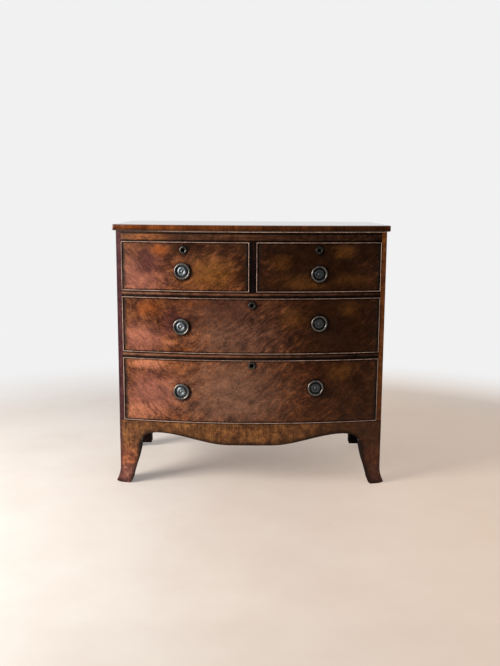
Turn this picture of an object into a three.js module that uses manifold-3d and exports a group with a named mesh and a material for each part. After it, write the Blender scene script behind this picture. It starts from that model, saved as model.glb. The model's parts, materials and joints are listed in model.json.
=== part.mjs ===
// A bow front chest of drawers: two short drawers over two long ones, on splayed feet.
// Millimetres. X runs to the right, Y to the back and Z up, with the floor at Z = 0.
// While a piece is made, Y = 0 is the plane through the two front corners of the case.
import * as THREE from "three";
import { mergeVertices } from "three/addons/utils/BufferGeometryUtils.js";
import Module from "manifold-3d";

const wasm = await Module();
wasm.setup();

// The case
const caseWidth = 880;
const caseDepth = 440; // from the front corners to the back edges of the sides
const bowRise = 52; // how far the middle of the front stands ahead of its corners
const bowFacets = 28; // flats that stand for the curve
const sideThickness = 16;
const backThickness = 9;
const backRabbet = 8; // how far the back panel is let into each side
const friezeHeight = 33;
const friezeThickness = 22;
const railThickness = 19;
const railDepth = 64; // from the front corners to the rail's straight back edge
const dustboardThickness = 9;
const bottomBoardThickness = 16;
const housingDepth = 6; // how far rails and boards are let into the sides
const housingSetback = 18; // the rails' housings stop this far behind the front corners
const dividerThickness = 22;
const dividerOffset = 5; // the divider stands this far right of the middle
const kickerWidth = 34;
const kickerThickness = 19;

// The top board
const topThickness = 20;
const topSideOverhang = 10;
const topFrontOverhang = 12;
const topEdgeRound = 6;
const topRoundSteps = 2;

// Heights of the openings that the drawers run in
const shortOpening = 161;
const middleOpening = 184;
const bottomOpening = 214;

// Apron and feet
const apronThickness = 20;
const apronBand = 39; // depth of the apron beside the feet
const apronDrop = 36; // how much deeper it is in the middle
const apronFlatHalf = 70; // half the width of the straight middle
const apronCurveSteps = 12;
const earWidth = 60; // the quarter curve between the apron and a foot
const earHeight = 30;
const earSteps = 8;
const footHeight = 152;
const footWidth = 75; // seen from the front or the side, at the foot's top
const flareHeight = 59;
const flareReach = 14; // how far the toe splays out sideways
const flareForward = 3;
const toeRound = 6; // the worn outer edge of the sole
const rearFootWidth = 55;
const rearPadWidth = 32; // the narrower sole of a rear foot
const rearPadHeight = 15;
// Height of each level of a front foot and its width there, as shares of the foot at its top
const footTaperShares = [
  [0, 0.53],
  [0.13, 0.57],
  [0.33, 0.68],
  [0.5, 0.79],
  [0.7, 0.88],
  [0.86, 0.92],
  [1, 1],
];
// The worn toe: how far up it and how far in from its tip the sole's edge lies, as shares of toeRound
const toeRoundShares = [
  [0, 3],
  [0.4, 1.2],
  [1, 0],
];

// Drawers
const frontThickness = 22;
const liningThickness = 10; // the drawer's sides
const drawerBackThickness = 9;
const drawerBottomThickness = 6;
const bottomLift = 8; // the bottom board's height above the lower edge of the sides
const grooveDepth = 4;
const liningDrop = 7; // the sides stop this far below the top of the front
const drawerBackDrop = 6; // the back stops this far below the sides
const backSpace = 12; // left free behind a closed drawer
const drawerSlack = 0.8; // beside a drawer front
const drawerHeadroom = 1.3; // above it
const runningGap = 0.3; // under it
const tailLength = 10; // lapped dovetails between each side and the front
const tailPitch = 34;
const tailRootShare = 0.38; // a tail's width where it leaves the side, as a share of the pitch
const tailTipShare = 0.66;
const stopWidth = 34;
const stopHeight = 5;
const stopDepth = 22;

// Cockbeads
const beadWidth = 3.2;
const beadProud = 2.6;
const beadDepth = 9; // how far the bead is let into the drawer front
const beadFacetLength = 45; // flats along the bowed edges

// Locks and escutcheons
const lockWidth = 60;
const lockHeight = 40;
const lockThickness = 8;
const lockAboveKeyhole = 13;
const boltWidth = 18;
const boltThickness = 4;
const boltProud = 0.8;
const pinRadius = 1.9;
const pinLength = 6;
const keyTubeRadius = 7.4; // the escutcheon's tube inside the front
const keyTubeLength = 6;
const keyTubeWall = 1.1;
const escutcheonRadius = 12;
const escutcheonProud = 2.2;

// Ring handles
const plateRadius = 24.5;
const plateThickness = 1.6;
const bossRadius = 14.5;
const bossProud = 5.4;
const rosetteRadius = 6.2;
const shankRadius = 2.6;
const shankClearance = 0.5;
const nutRadius = 6.5;
const nutThickness = 4;
const ringRadius = 23.6; // to the middle of the wire
const wireRadius = 2.6;
const knuckleHalf = 3.6; // half the length of the pivot knuckle
const knuckleRadius = 3.1;
const pivotRadius = 1.1;
const pivotClearance = 0.4;
const pivotLength = 2.2;

// Joinery
const seam = 0.3; // left between two pieces that are glued or nailed together
const overrun = 20; // how far a cutter runs past what it cuts

// Heights and widths that follow from those sizes
const caseFloor = footHeight + earHeight + apronBand;
const lowerRailLow = caseFloor + bottomOpening;
const lowerRailTop = lowerRailLow + railThickness;
const upperRailLow = lowerRailTop + middleOpening;
const upperRailTop = upperRailLow + railThickness;
const friezeLow = upperRailTop + shortOpening;
const caseTop = friezeLow + friezeHeight;
const caseHalf = caseWidth / 2;
const innerHalf = caseHalf - sideThickness;
const innerBack = caseDepth - backThickness;
const bottomBoardLow = caseFloor - bottomBoardThickness;
const dividerLeft = dividerOffset - dividerThickness / 2;
const dividerRight = dividerOffset + dividerThickness / 2;
const bowRadius = (caseHalf ** 2 + bowRise ** 2) / (2 * bowRise);
const bowCentre = bowRadius - bowRise;
const drawerBackFace = innerBack - backSpace;

// Drawers, with the places of handles and keyholes as shares of the opening's width and height
const drawers = [
  {
    name: "upper_left",
    left: -innerHalf,
    right: dividerLeft,
    low: upperRailTop,
    high: friezeLow,
    handles: [{ name: "upper_left", placeShares: [0.483, 0.408] }],
    keyholeShares: [0.492, 0.83],
  },
  {
    name: "upper_right",
    left: dividerRight,
    right: innerHalf,
    low: upperRailTop,
    high: friezeLow,
    handles: [{ name: "upper_right", placeShares: [0.497, 0.365] }],
    keyholeShares: [0.494, 0.84],
  },
  {
    name: "middle",
    left: -innerHalf,
    right: innerHalf,
    low: lowerRailTop,
    high: upperRailLow,
    handles: [
      { name: "middle_left", placeShares: [0.2324, 0.478] },
      { name: "middle_right", placeShares: [0.761, 0.547] },
    ],
    keyholeShares: [0.504, 0.874],
  },
  {
    name: "bottom",
    left: -innerHalf,
    right: innerHalf,
    low: caseFloor,
    high: lowerRailLow,
    handles: [
      { name: "bottom_left", placeShares: [0.2316, 0.49] },
      { name: "bottom_right", placeShares: [0.751, 0.56] },
    ],
    keyholeShares: [0.504, 0.9145],
  },
];

// Finishes
function finish(colour, roughness, metalness) {
  return new THREE.MeshStandardMaterial({ color: colour, roughness, metalness });
}
const topWood = finish(0x7a3f22, 0.28, 0);
const caseWood = finish(0x54291a, 0.4, 0);
const figuredWood = finish(0x8a4a28, 0.35, 0);
const beadWood = finish(0x3c1c12, 0.35, 0);
const apronWood = finish(0x6a3a1e, 0.4, 0);
const liningWood = finish(0xa9855a, 0.7, 0);
const carcassPine = finish(0x9a7448, 0.75, 0);
const agedBrass = finish(0x4e4a40, 0.45, 0.9);
const lockIron = finish(0x6e6a62, 0.5, 0.9);

// Solids, made from three.js geometries
function solid(geometry) {
  const bare = geometry.index ? geometry.toNonIndexed() : geometry.clone();
  bare.deleteAttribute("normal");
  bare.deleteAttribute("uv");
  const merged = mergeVertices(bare);
  return new wasm.Manifold(
    new wasm.Mesh({
      numProp: 3,
      vertProperties: new Float32Array(merged.attributes.position.array),
      triVerts: new Uint32Array(merged.index.array),
    }),
  );
}

function meshOf(name, body, material) {
  const surface = body.getMesh();
  const geometry = new THREE.BufferGeometry();
  geometry.setAttribute("position", new THREE.BufferAttribute(surface.vertProperties, 3));
  geometry.setIndex(new THREE.BufferAttribute(surface.triVerts, 1));
  geometry.computeVertexNormals();
  const mesh = new THREE.Mesh(geometry, material);
  mesh.name = name;
  return mesh;
}

function blockGeometry(x0, x1, y0, y1, z0, z1) {
  const box = new THREE.BoxGeometry(x1 - x0, y1 - y0, z1 - z0);
  return box.translate((x0 + x1) / 2, (y0 + y1) / 2, (z0 + z1) / 2);
}

function block(x0, x1, y0, y1, z0, z1) {
  return solid(blockGeometry(x0, x1, y0, y1, z0, z1));
}

// A plan outline of [x, y] points, raised from one height to another
function raised(points, low, high) {
  const shape = new THREE.Shape(points.map(([x, y]) => new THREE.Vector2(x, y)));
  const body = new THREE.ExtrudeGeometry(shape, { depth: high - low, bevelEnabled: false });
  return solid(body.translate(0, 0, low));
}

// An outline of [x, z] points seen from the front, running from one depth to another
function runBack(points, front, back) {
  const shape = new THREE.Shape(points.map(([x, z]) => new THREE.Vector2(x, z)));
  const body = new THREE.ExtrudeGeometry(shape, { depth: back - front, bevelEnabled: false });
  return solid(body.rotateX(Math.PI / 2).translate(0, back, 0));
}

// An outline of [y, z] points seen from the right, running from one side to another
function runAcross(points, left, right) {
  const shape = new THREE.Shape(points.map(([y, z]) => new THREE.Vector2(y, z)));
  const body = new THREE.ExtrudeGeometry(shape, { depth: right - left, bevelEnabled: false });
  return solid(body.rotateX(Math.PI / 2).rotateZ(Math.PI / 2).translate(left, 0, 0));
}

// A closed skin over a stack of plan outlines, each a list of [x, y] with as many points
function stacked(levels) {
  const count = levels[0].points.length;
  const places = levels.flatMap(({ points, z }) => points.flatMap(([x, y]) => [x, y, z]));
  const corners = [];
  for (let level = 0; level < levels.length - 1; level += 1) {
    for (let i = 0; i < count; i += 1) {
      const a = level * count + i;
      const b = level * count + ((i + 1) % count);
      corners.push(a, b, b + count, a, b + count, a + count);
    }
  }
  const cap = (level, upward) => {
    const flat = levels[level].points.map(([x, y]) => new THREE.Vector2(x, y));
    for (const [a, b, c] of THREE.ShapeUtils.triangulateShape(flat, [])) {
      const first = level * count;
      corners.push(first + a, first + (upward ? b : c), first + (upward ? c : b));
    }
  };
  cap(0, false);
  cap(levels.length - 1, true);
  const geometry = new THREE.BufferGeometry();
  geometry.setAttribute("position", new THREE.Float32BufferAttribute(places, 3));
  geometry.setIndex(corners);
  return solid(geometry);
}

// The bow: an arc through the front corners. A piece set back by inset lies on a smaller arc.
function bowAt(x, inset = 0) {
  return bowCentre - Math.sqrt((bowRadius - inset) ** 2 - x ** 2);
}

function bowPoints(half, inset) {
  const points = [];
  for (let i = 0; i <= bowFacets; i += 1) {
    const x = -half + (2 * half * i) / bowFacets;
    points.push([x, bowAt(x, inset)]);
  }
  return points;
}

// All that lies behind the bow set back by inset. Every bowed piece is trimmed with it.
const trimHalf = caseHalf + topSideOverhang;
const trims = new Map();
function behindBow(inset) {
  if (!trims.has(inset)) {
    const back = caseDepth + overrun;
    const outline = [...bowPoints(trimHalf, inset), [trimHalf, back], [-trimHalf, back]];
    trims.set(inset, raised(outline, -overrun, caseTop + overrun));
  }
  return trims.get(inset);
}

// A bowed slab between two set-backs
function bowedSlab(left, right, low, high, inset, thickness) {
  const stock = block(left, right, -bowRise - overrun, caseDepth, low, high);
  return stock.intersect(behindBow(inset)).subtract(behindBow(inset + thickness));
}

// A frame that stands square on the bow at x: its X runs along the face and its Y goes inwards
function placeOnBow(object, x, z) {
  object.position.set(x, bowAt(x), z);
  object.rotation.z = Math.asin(x / bowRadius);
  object.updateMatrix();
  return object;
}

function cutterOnBow(geometry, x, z) {
  const place = placeOnBow(new THREE.Object3D(), x, z);
  return solid(geometry.applyMatrix4(place.matrix));
}

// A cylinder whose axis goes inwards through the face, from one depth to another
function boreGeometry(radius, from, to) {
  const facets = 16;
  const cylinder = new THREE.CylinderGeometry(radius, radius, to - from, facets);
  return cylinder.translate(0, (from + to) / 2, 0);
}

const chest = new THREE.Group();
// The origin is under the middle of the whole chest
const frontReach = bowRise + topFrontOverhang;
chest.position.y = -(caseDepth - frontReach) / 2;

function addTo(group, name, body, material) {
  const mesh = meshOf(name, body, material);
  group.add(mesh);
  return mesh;
}

// Top board: the front and both ends are rounded, and the back is square
function topLevel(z, inset) {
  const half = caseHalf + topSideOverhang - inset;
  const front = bowPoints(half, inset - topFrontOverhang);
  return { z, points: [...front, [half, caseDepth], [-half, caseDepth]] };
}
const topLevels = [];
for (const upper of [false, true]) {
  for (let i = 0; i <= topRoundSteps; i += 1) {
    const angle = (Math.PI / 2) * (upper ? i / topRoundSteps : 1 - i / topRoundSteps);
    const rise = topEdgeRound * (1 - Math.sin(angle));
    const height = upper ? caseTop + topThickness - rise : caseTop + rise;
    topLevels.push(topLevel(height, topEdgeRound * (1 - Math.cos(angle))));
  }
}
addTo(chest, "top", stacked(topLevels), topWood);

// Quarter curve of an ear, from the foot's edge up to the straight lower edge of a panel
function earPoints(start, direction) {
  const points = [];
  for (let i = 0; i <= earSteps; i += 1) {
    const angle = (Math.PI / 2) * (i / earSteps);
    const along = start + direction * earWidth * (1 - Math.cos(angle));
    points.push([along, footHeight + earHeight * Math.sin(angle)]);
  }
  return points;
}

// Sides, with housings for the rails and boards and a rabbet for the back panel
function sidePanel(left) {
  const outline = [
    [-overrun, footHeight],
    ...earPoints(footWidth, 1),
    ...earPoints(caseDepth - footWidth, -1).reverse(),
    [caseDepth, footHeight],
    [caseDepth, caseTop - seam],
    [-overrun, caseTop - seam],
  ];
  const outwards = left ? -1 : 1;
  const span = (from, to) => {
    const ends = [outwards * (innerHalf + from), outwards * (innerHalf + to)];
    return ends.sort((a, b) => a - b);
  };
  let panel = runAcross(outline, ...span(0, sideThickness)).intersect(behindBow(0));
  const housing = span(-overrun, housingDepth);
  const cut = (front, back, low, high) => {
    panel = panel.subtract(block(...housing, front, back, low - seam, high + seam));
  };
  cut(housingSetback, innerBack + overrun, bottomBoardLow, caseFloor);
  for (const railTop of [lowerRailTop, upperRailTop]) {
    cut(housingSetback, railDepth + seam, railTop - railThickness, railTop);
    cut(railDepth, innerBack + overrun, railTop - dustboardThickness, railTop);
  }
  const [near, far] = span(-overrun, backRabbet);
  const rabbetLow = bottomBoardLow - seam;
  const rabbet = block(near, far, innerBack, caseDepth + overrun, rabbetLow, caseTop + overrun);
  return panel.subtract(rabbet);
}
addTo(chest, "left_side", sidePanel(true), caseWood);
addTo(chest, "right_side", sidePanel(false), caseWood);

const backHalf = innerHalf + backRabbet - seam;
const backPanel = block(-backHalf, backHalf, innerBack + seam, caseDepth, bottomBoardLow, caseTop - seam);
addTo(chest, "back_panel", backPanel, carcassPine);

// Stops stand on a rail or board close behind a drawer front and halt it flush with the case
function stopsAt(places, floor) {
  const half = stopWidth / 2;
  const inset = frontThickness + seam;
  const low = floor - stopHeight;
  const high = floor + stopHeight;
  return places.map((x) => bowedSlab(x - half, x + half, low, high, inset, stopDepth));
}
function joined(first, others) {
  return others.reduce((sum, other) => sum.add(other), first);
}

// Each stop stands a quarter of the way in from an end of the drawer that it halts
function stopPlaces(low) {
  const quarter = 1 / 4;
  const above = drawers.filter((drawer) => drawer.low === low);
  return above.flatMap(({ left, right }) => [
    left + (right - left) * quarter,
    right - (right - left) * quarter,
  ]);
}

// Rails: bowed in front, straight behind, with stub ends let into the sides
function railAt(top) {
  const low = top - railThickness;
  const half = innerHalf - seam;
  const bar = block(-half, half, -bowRise - overrun, railDepth, low, top - seam).intersect(behindBow(0));
  const stubHalf = innerHalf + housingDepth - seam;
  const stub = block(-stubHalf, stubHalf, housingSetback + seam, railDepth, low, top - seam);
  return joined(bar.add(stub), stopsAt(stopPlaces(top), top - seam));
}
addTo(chest, "lower_rail", railAt(lowerRailTop), caseWood);
addTo(chest, "upper_rail", railAt(upperRailTop), caseWood);

function boardAt(top, thickness, front) {
  const half = innerHalf + housingDepth - seam;
  return block(-half, half, front, innerBack, top - thickness, top - seam);
}
const dustboardFront = railDepth + seam;
addTo(chest, "lower_dustboard", boardAt(lowerRailTop, dustboardThickness, dustboardFront), carcassPine);
addTo(chest, "upper_dustboard", boardAt(upperRailTop, dustboardThickness, dustboardFront), carcassPine);

// Bottom board: it runs forward between the sides to the back of the apron
function bottomBoard() {
  const half = innerHalf - seam;
  const top = caseFloor - seam;
  const middle = block(-half, half, -bowRise, innerBack, bottomBoardLow, top);
  const housed = boardAt(caseFloor, bottomBoardThickness, housingSetback + seam);
  const board = middle.add(housed).intersect(behindBow(apronThickness + seam));
  return joined(board, stopsAt(stopPlaces(caseFloor), top));
}
addTo(chest, "bottom_board", bottomBoard(), carcassPine);

// Divider between the short drawers, as deep as the case
const dividerFront = -bowRise - overrun;
const dividerHigh = friezeLow - seam;
const dividerStock = block(dividerLeft, dividerRight, dividerFront, innerBack, upperRailTop, dividerHigh);
addTo(chest, "centre_divider", dividerStock.intersect(behindBow(0)), caseWood);

// Frieze rail, with three kickers behind it that keep an open drawer from tipping
function friezeFrame() {
  const high = caseTop - seam;
  const rail = bowedSlab(-innerHalf + seam, innerHalf - seam, friezeLow, high, 0, friezeThickness);
  const starts = [-innerHalf + seam, dividerOffset - kickerWidth / 2, innerHalf - seam - kickerWidth];
  const kickerTop = friezeLow + kickerThickness;
  const bars = starts.map((x) => block(x, x + kickerWidth, -bowRise, innerBack, friezeLow, kickerTop));
  return joined(rail, bars.map((bar) => bar.intersect(behindBow(friezeThickness / 2))));
}
addTo(chest, "frieze_rail", friezeFrame(), caseWood);

// Apron: its lower edge runs flat in the middle, up an ogee to the ears, and down to the feet
function apronEdge() {
  const earStart = caseHalf - footWidth;
  const ogeeEnd = earStart - earWidth;
  const points = [...earPoints(earStart, -1)];
  for (let i = 1; i <= apronCurveSteps; i += 1) {
    const along = 1 - i / apronCurveSteps;
    const x = apronFlatHalf + (ogeeEnd - apronFlatHalf) * along;
    const smooth = along * along * (3 - 2 * along);
    points.push([x, footHeight + earHeight - apronDrop * (1 - smooth)]);
  }
  return points;
}
function apron() {
  const half = innerHalf - seam;
  const inwards = apronEdge();
  const left = inwards.map(([x, z]) => [-x, z]);
  const right = inwards.toReversed();
  const high = caseFloor - seam;
  const outline = [[half, high], [-half, high], [-half, footHeight], ...left, ...right, [half, footHeight]];
  const board = runBack(outline, -bowRise - overrun, caseDepth);
  return board.intersect(behindBow(0)).subtract(behindBow(apronThickness));
}
addTo(chest, "apron", apron(), apronWood);

// How far the toe has splayed out at a height, as a share of its reach just above the worn edge
function flareShare(z) {
  const left = (flareHeight - Math.max(z, toeRound)) / (flareHeight - toeRound);
  return Math.max(left, 0) ** 2;
}

// Width of a foot at a height, read off the taper
function footWidthAt(z) {
  const height = z / footHeight;
  const above = footTaperShares.findIndex(([share]) => share >= Math.min(height, 1));
  const [highShare, wide] = footTaperShares[above];
  if (above === 0) {
    return footWidth * wide;
  }
  const [lowShare, narrow] = footTaperShares[above - 1];
  return footWidth * (narrow + ((wide - narrow) * (height - lowShare)) / (highShare - lowShare));
}

// Heights where a foot changes: the worn toe, the flare and the taper
function footHeights(others) {
  const flareLevels = [1 / 4, 1 / 2, 3 / 4, 1].map((share) => flareHeight * share);
  const toes = toeRoundShares.map(([up]) => up * toeRound);
  const tapers = footTaperShares.slice(1, -1).map(([share]) => share * footHeight);
  const all = [...toes, ...flareLevels, ...tapers, ...others, footHeight - seam];
  return all.sort((a, b) => a - b);
}

function toeCutAt(z) {
  const past = toeRoundShares.find(([up]) => up * toeRound >= z);
  return past ? past[1] * toeRound : 0;
}

// Front foot: it follows the bow in front, tapers towards the floor and splays at the toe
function frontFoot(side) {
  const levels = footHeights([]).map((z) => {
    const width = footWidthAt(z);
    const outer = caseHalf + flareReach * flareShare(z) - toeCutAt(z);
    const inner = caseHalf - width;
    const forward = flareForward * flareShare(z);
    const middle = (inner + outer) / 2;
    const front = [inner, middle, outer].map((x) => [x, bowAt(x) - forward]);
    return { z, points: [...front, [outer, width], [inner, width]] };
  });
  const inner = caseHalf - footWidth;
  const low = footHeight - earHeight;
  const stock = block(inner, innerHalf - seam, -bowRise, footWidth, low, bottomBoardLow - seam);
  const cornerBlock = stock.intersect(behindBow(apronThickness + seam));
  return mirrored(stacked(levels).add(cornerBlock), side);
}

// Rear foot: square behind, so that the chest stands against a wall, with a narrower sole
function rearFoot(side) {
  const heights = footHeights([rearPadHeight, rearPadHeight + seam]);
  const levels = heights.map((z) => {
    const outer = caseHalf + flareReach * flareShare(z) - toeCutAt(z);
    const inner = caseHalf - (z > rearPadHeight ? rearFootWidth : rearPadWidth);
    const front = caseDepth - footWidthAt(z);
    return { z, points: [[inner, front], [outer, front], [outer, caseDepth], [inner, caseDepth]] };
  });
  const inner = caseHalf - rearFootWidth;
  const front = caseDepth - footWidth;
  const low = footHeight - earHeight;
  const cornerBlock = block(inner, innerHalf - seam, front, caseDepth, low, bottomBoardLow - seam);
  return mirrored(stacked(levels).add(cornerBlock), side);
}

// Pieces are drawn for the right-hand side and mirrored for the left
function mirrored(body, side) {
  if (side === "right") {
    return body;
  }
  const surface = body.getMesh();
  const places = surface.vertProperties.map((value, i) => (i % 3 === 0 ? -value : value));
  const flipped = surface.triVerts.map((_, i, all) => all[i - (i % 3) + [0, 2, 1][i % 3]]);
  return new wasm.Manifold(new wasm.Mesh({ numProp: 3, vertProperties: places, triVerts: flipped }));
}
for (const side of ["left", "right"]) {
  addTo(chest, `front_${side}_foot`, frontFoot(side), apronWood);
  addTo(chest, `rear_${side}_foot`, rearFoot(side), caseWood);
}

// A bead that runs round the drawer front: its section is swept along the four mitred edges
function beadFrame({ left, right, low, high }) {
  // The section: how far in from the outer edge, and how far ahead of the face
  const section = [
    [0, -beadDepth],
    [beadWidth, -beadDepth],
    [beadWidth, beadProud / 2],
    [(beadWidth * 2) / 3, beadProud],
    [beadWidth / 3, beadProud],
    [0, beadProud / 2],
  ];
  const steps = Math.max(2, Math.round((right - left) / beadFacetLength));
  const stations = [];
  for (let i = 0; i < steps; i += 1) {
    stations.push([i / steps, 0]);
  }
  stations.push([1, 0]);
  for (let i = 0; i < steps; i += 1) {
    stations.push([1 - i / steps, 1]);
  }
  stations.push([0, 1]);
  const places = [];
  for (const [along, up] of stations) {
    for (const [inward, ahead] of section) {
      const x = left + inward + (right - left - 2 * inward) * along;
      const z = low + inward + (high - low - 2 * inward) * up;
      places.push(x, bowAt(x) - ahead, z);
    }
  }
  const corners = [];
  const count = section.length;
  for (let s = 0; s < stations.length; s += 1) {
    const next = (s + 1) % stations.length;
    for (let i = 0; i < count; i += 1) {
      const j = (i + 1) % count;
      const [a, b] = [s * count + i, s * count + j];
      const [c, d] = [next * count + j, next * count + i];
      corners.push(a, b, c, a, c, d);
    }
  }
  const geometry = new THREE.BufferGeometry();
  geometry.setAttribute("position", new THREE.Float32BufferAttribute(places, 3));
  geometry.setIndex(corners);
  return solid(geometry);
}

// The tails on the front end of a drawer side, and the sockets that they fit
function tailShapes(edges, x0, x1, faceX, slack) {
  const { low, liningHigh } = edges;
  const root = bowAt(faceX, frontThickness);
  const tip = root - tailLength - slack;
  const back = root + liningThickness;
  const height = liningHigh - low;
  const count = Math.max(1, Math.floor(height / tailPitch));
  const pitch = height / count;
  const tails = [];
  for (let i = 0; i < count; i += 1) {
    const middle = low + pitch * (i + 1 / 2);
    const rootHalf = (pitch * tailRootShare) / 2 + slack;
    const tipHalf = (pitch * tailTipShare) / 2 + slack;
    const outline = [
      [back, middle - rootHalf],
      [back, middle + rootHalf],
      [root, middle + rootHalf],
      [tip, middle + tipHalf],
      [tip, middle - tipHalf],
      [root, middle - rootHalf],
    ];
    tails.push(runAcross(outline.reverse(), x0, x1));
  }
  return tails;
}

// Lock: a case let into the back of the front, with a pin for the key and a bolt above
function lockBody() {
  const low = lockAboveKeyhole - lockHeight;
  const deep = frontThickness;
  const shell = block(-lockWidth / 2, lockWidth / 2, deep - lockThickness, deep, low, lockAboveKeyhole);
  const boltTop = lockAboveKeyhole + boltProud;
  const boltMiddle = deep - lockThickness / 2;
  const boltFront = boltMiddle - boltThickness / 2;
  const bolt = block(-boltWidth / 2, boltWidth / 2, boltFront, boltFront + boltThickness, low / 2, boltTop);
  const front = deep - lockThickness;
  const pin = solid(boreGeometry(pinRadius, front - pinLength, front + lockThickness / 2));
  return shell.add(bolt).add(pin);
}
function lockRecess(x, z) {
  const low = lockAboveKeyhole - lockHeight - seam;
  const side = lockWidth / 2 + seam;
  const front = frontThickness - lockThickness - seam;
  const high = lockAboveKeyhole + boltProud + seam;
  return cutterOnBow(blockGeometry(-side, side, front, frontThickness + overrun, low, high), x, z);
}

// A turned piece: its outline gives radius and how far it stands ahead of the drawer's face
function turned(outline) {
  const facets = 20;
  const points = outline.map(([radius, ahead]) => new THREE.Vector2(radius, -ahead));
  return solid(new THREE.LatheGeometry(points.reverse(), facets));
}

// Escutcheon: a rounded ring round the keyhole, on a tube that lines it
function escutcheonBody() {
  const bore = keyTubeRadius - keyTubeWall;
  const middle = (bore + escutcheonRadius) / 2;
  return turned([
    [bore, -keyTubeLength],
    [keyTubeRadius, -keyTubeLength],
    [keyTubeRadius, seam],
    [escutcheonRadius, seam],
    [escutcheonRadius, escutcheonProud / 2],
    [middle, escutcheonProud],
    [bore, escutcheonProud / 2],
    [bore, -keyTubeLength],
  ]);
}

// Backplate: dished where the ring lies, with a moulded boss, and its bolt and nut behind
const ringAhead = seam + plateThickness + seam + wireRadius;
const gapAngle = Math.asin((knuckleHalf + seam) / (ringRadius - wireRadius));
const pivotUp = ringRadius * Math.cos(gapAngle);
function backplateBody() {
  const inside = -frontThickness - seam;
  const plateFront = seam + plateThickness;
  const boss = bossProud + seam;
  const plate = turned([
    [0, inside - nutThickness],
    [nutRadius, inside - nutThickness],
    [nutRadius, inside],
    [shankRadius, inside],
    [shankRadius, seam],
    [plateRadius, seam],
    [plateRadius, plateFront],
    [bossRadius + wireRadius, plateFront],
    [bossRadius, (plateFront + boss) / 2],
    [(bossRadius + rosetteRadius) / 2, boss],
    [rosetteRadius, (plateFront + boss) / 2],
    [rosetteRadius / 2, boss],
    [0, boss],
  ]);
  const facets = 8;
  const barrel = new THREE.CylinderGeometry(knuckleRadius, knuckleRadius, knuckleHalf * 2, facets);
  const knuckle = solid(barrel.rotateZ(Math.PI / 2).translate(0, -ringAhead, pivotUp));
  const low = pivotUp - knuckleRadius;
  const high = pivotUp + knuckleRadius / 2;
  const foot = block(-knuckleHalf, knuckleHalf, -ringAhead, -seam, low, high);
  const holeRadius = pivotRadius + pivotClearance;
  const bore = new THREE.CylinderGeometry(holeRadius, holeRadius, knuckleHalf * 2 + overrun, facets);
  const hole = solid(bore.rotateZ(Math.PI / 2).translate(0, -ringAhead, pivotUp));
  return plate.add(knuckle.add(foot)).subtract(hole);
}

// Ring: bent wire that hangs from two pins in the knuckle
class RingPath extends THREE.Curve {
  getPoint(t, target = new THREE.Vector3()) {
    const angle = gapAngle + t * 2 * (Math.PI - gapAngle);
    return target.set(ringRadius * Math.sin(angle), 0, ringRadius * Math.cos(angle));
  }
}
function ringBody() {
  const sides = 8;
  const steps = 26;
  const wire = new THREE.Shape();
  for (let i = 0; i < sides; i += 1) {
    const angle = (2 * Math.PI * i) / sides;
    const [across, along] = [wireRadius * Math.cos(angle), wireRadius * Math.sin(angle)];
    if (i === 0) {
      wire.moveTo(across, along);
    } else {
      wire.lineTo(across, along);
    }
  }
  const bent = new THREE.ExtrudeGeometry(wire, { steps, extrudePath: new RingPath() });
  const pinFacets = 8;
  const inner = knuckleHalf - pivotLength;
  const outer = ringRadius * Math.sin(gapAngle) + wireRadius / 2;
  let ring = solid(bent);
  for (const side of [-1, 1]) {
    const pin = new THREE.CylinderGeometry(pivotRadius, pivotRadius, outer - inner, pinFacets);
    const middle = (side * (inner + outer)) / 2;
    ring = ring.add(solid(pin.rotateZ(Math.PI / 2).translate(middle, 0, pivotUp)));
  }
  return ring;
}
const backplate = backplateBody();
const ring = ringBody();
const lock = lockBody();
const escutcheon = escutcheonBody();

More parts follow.
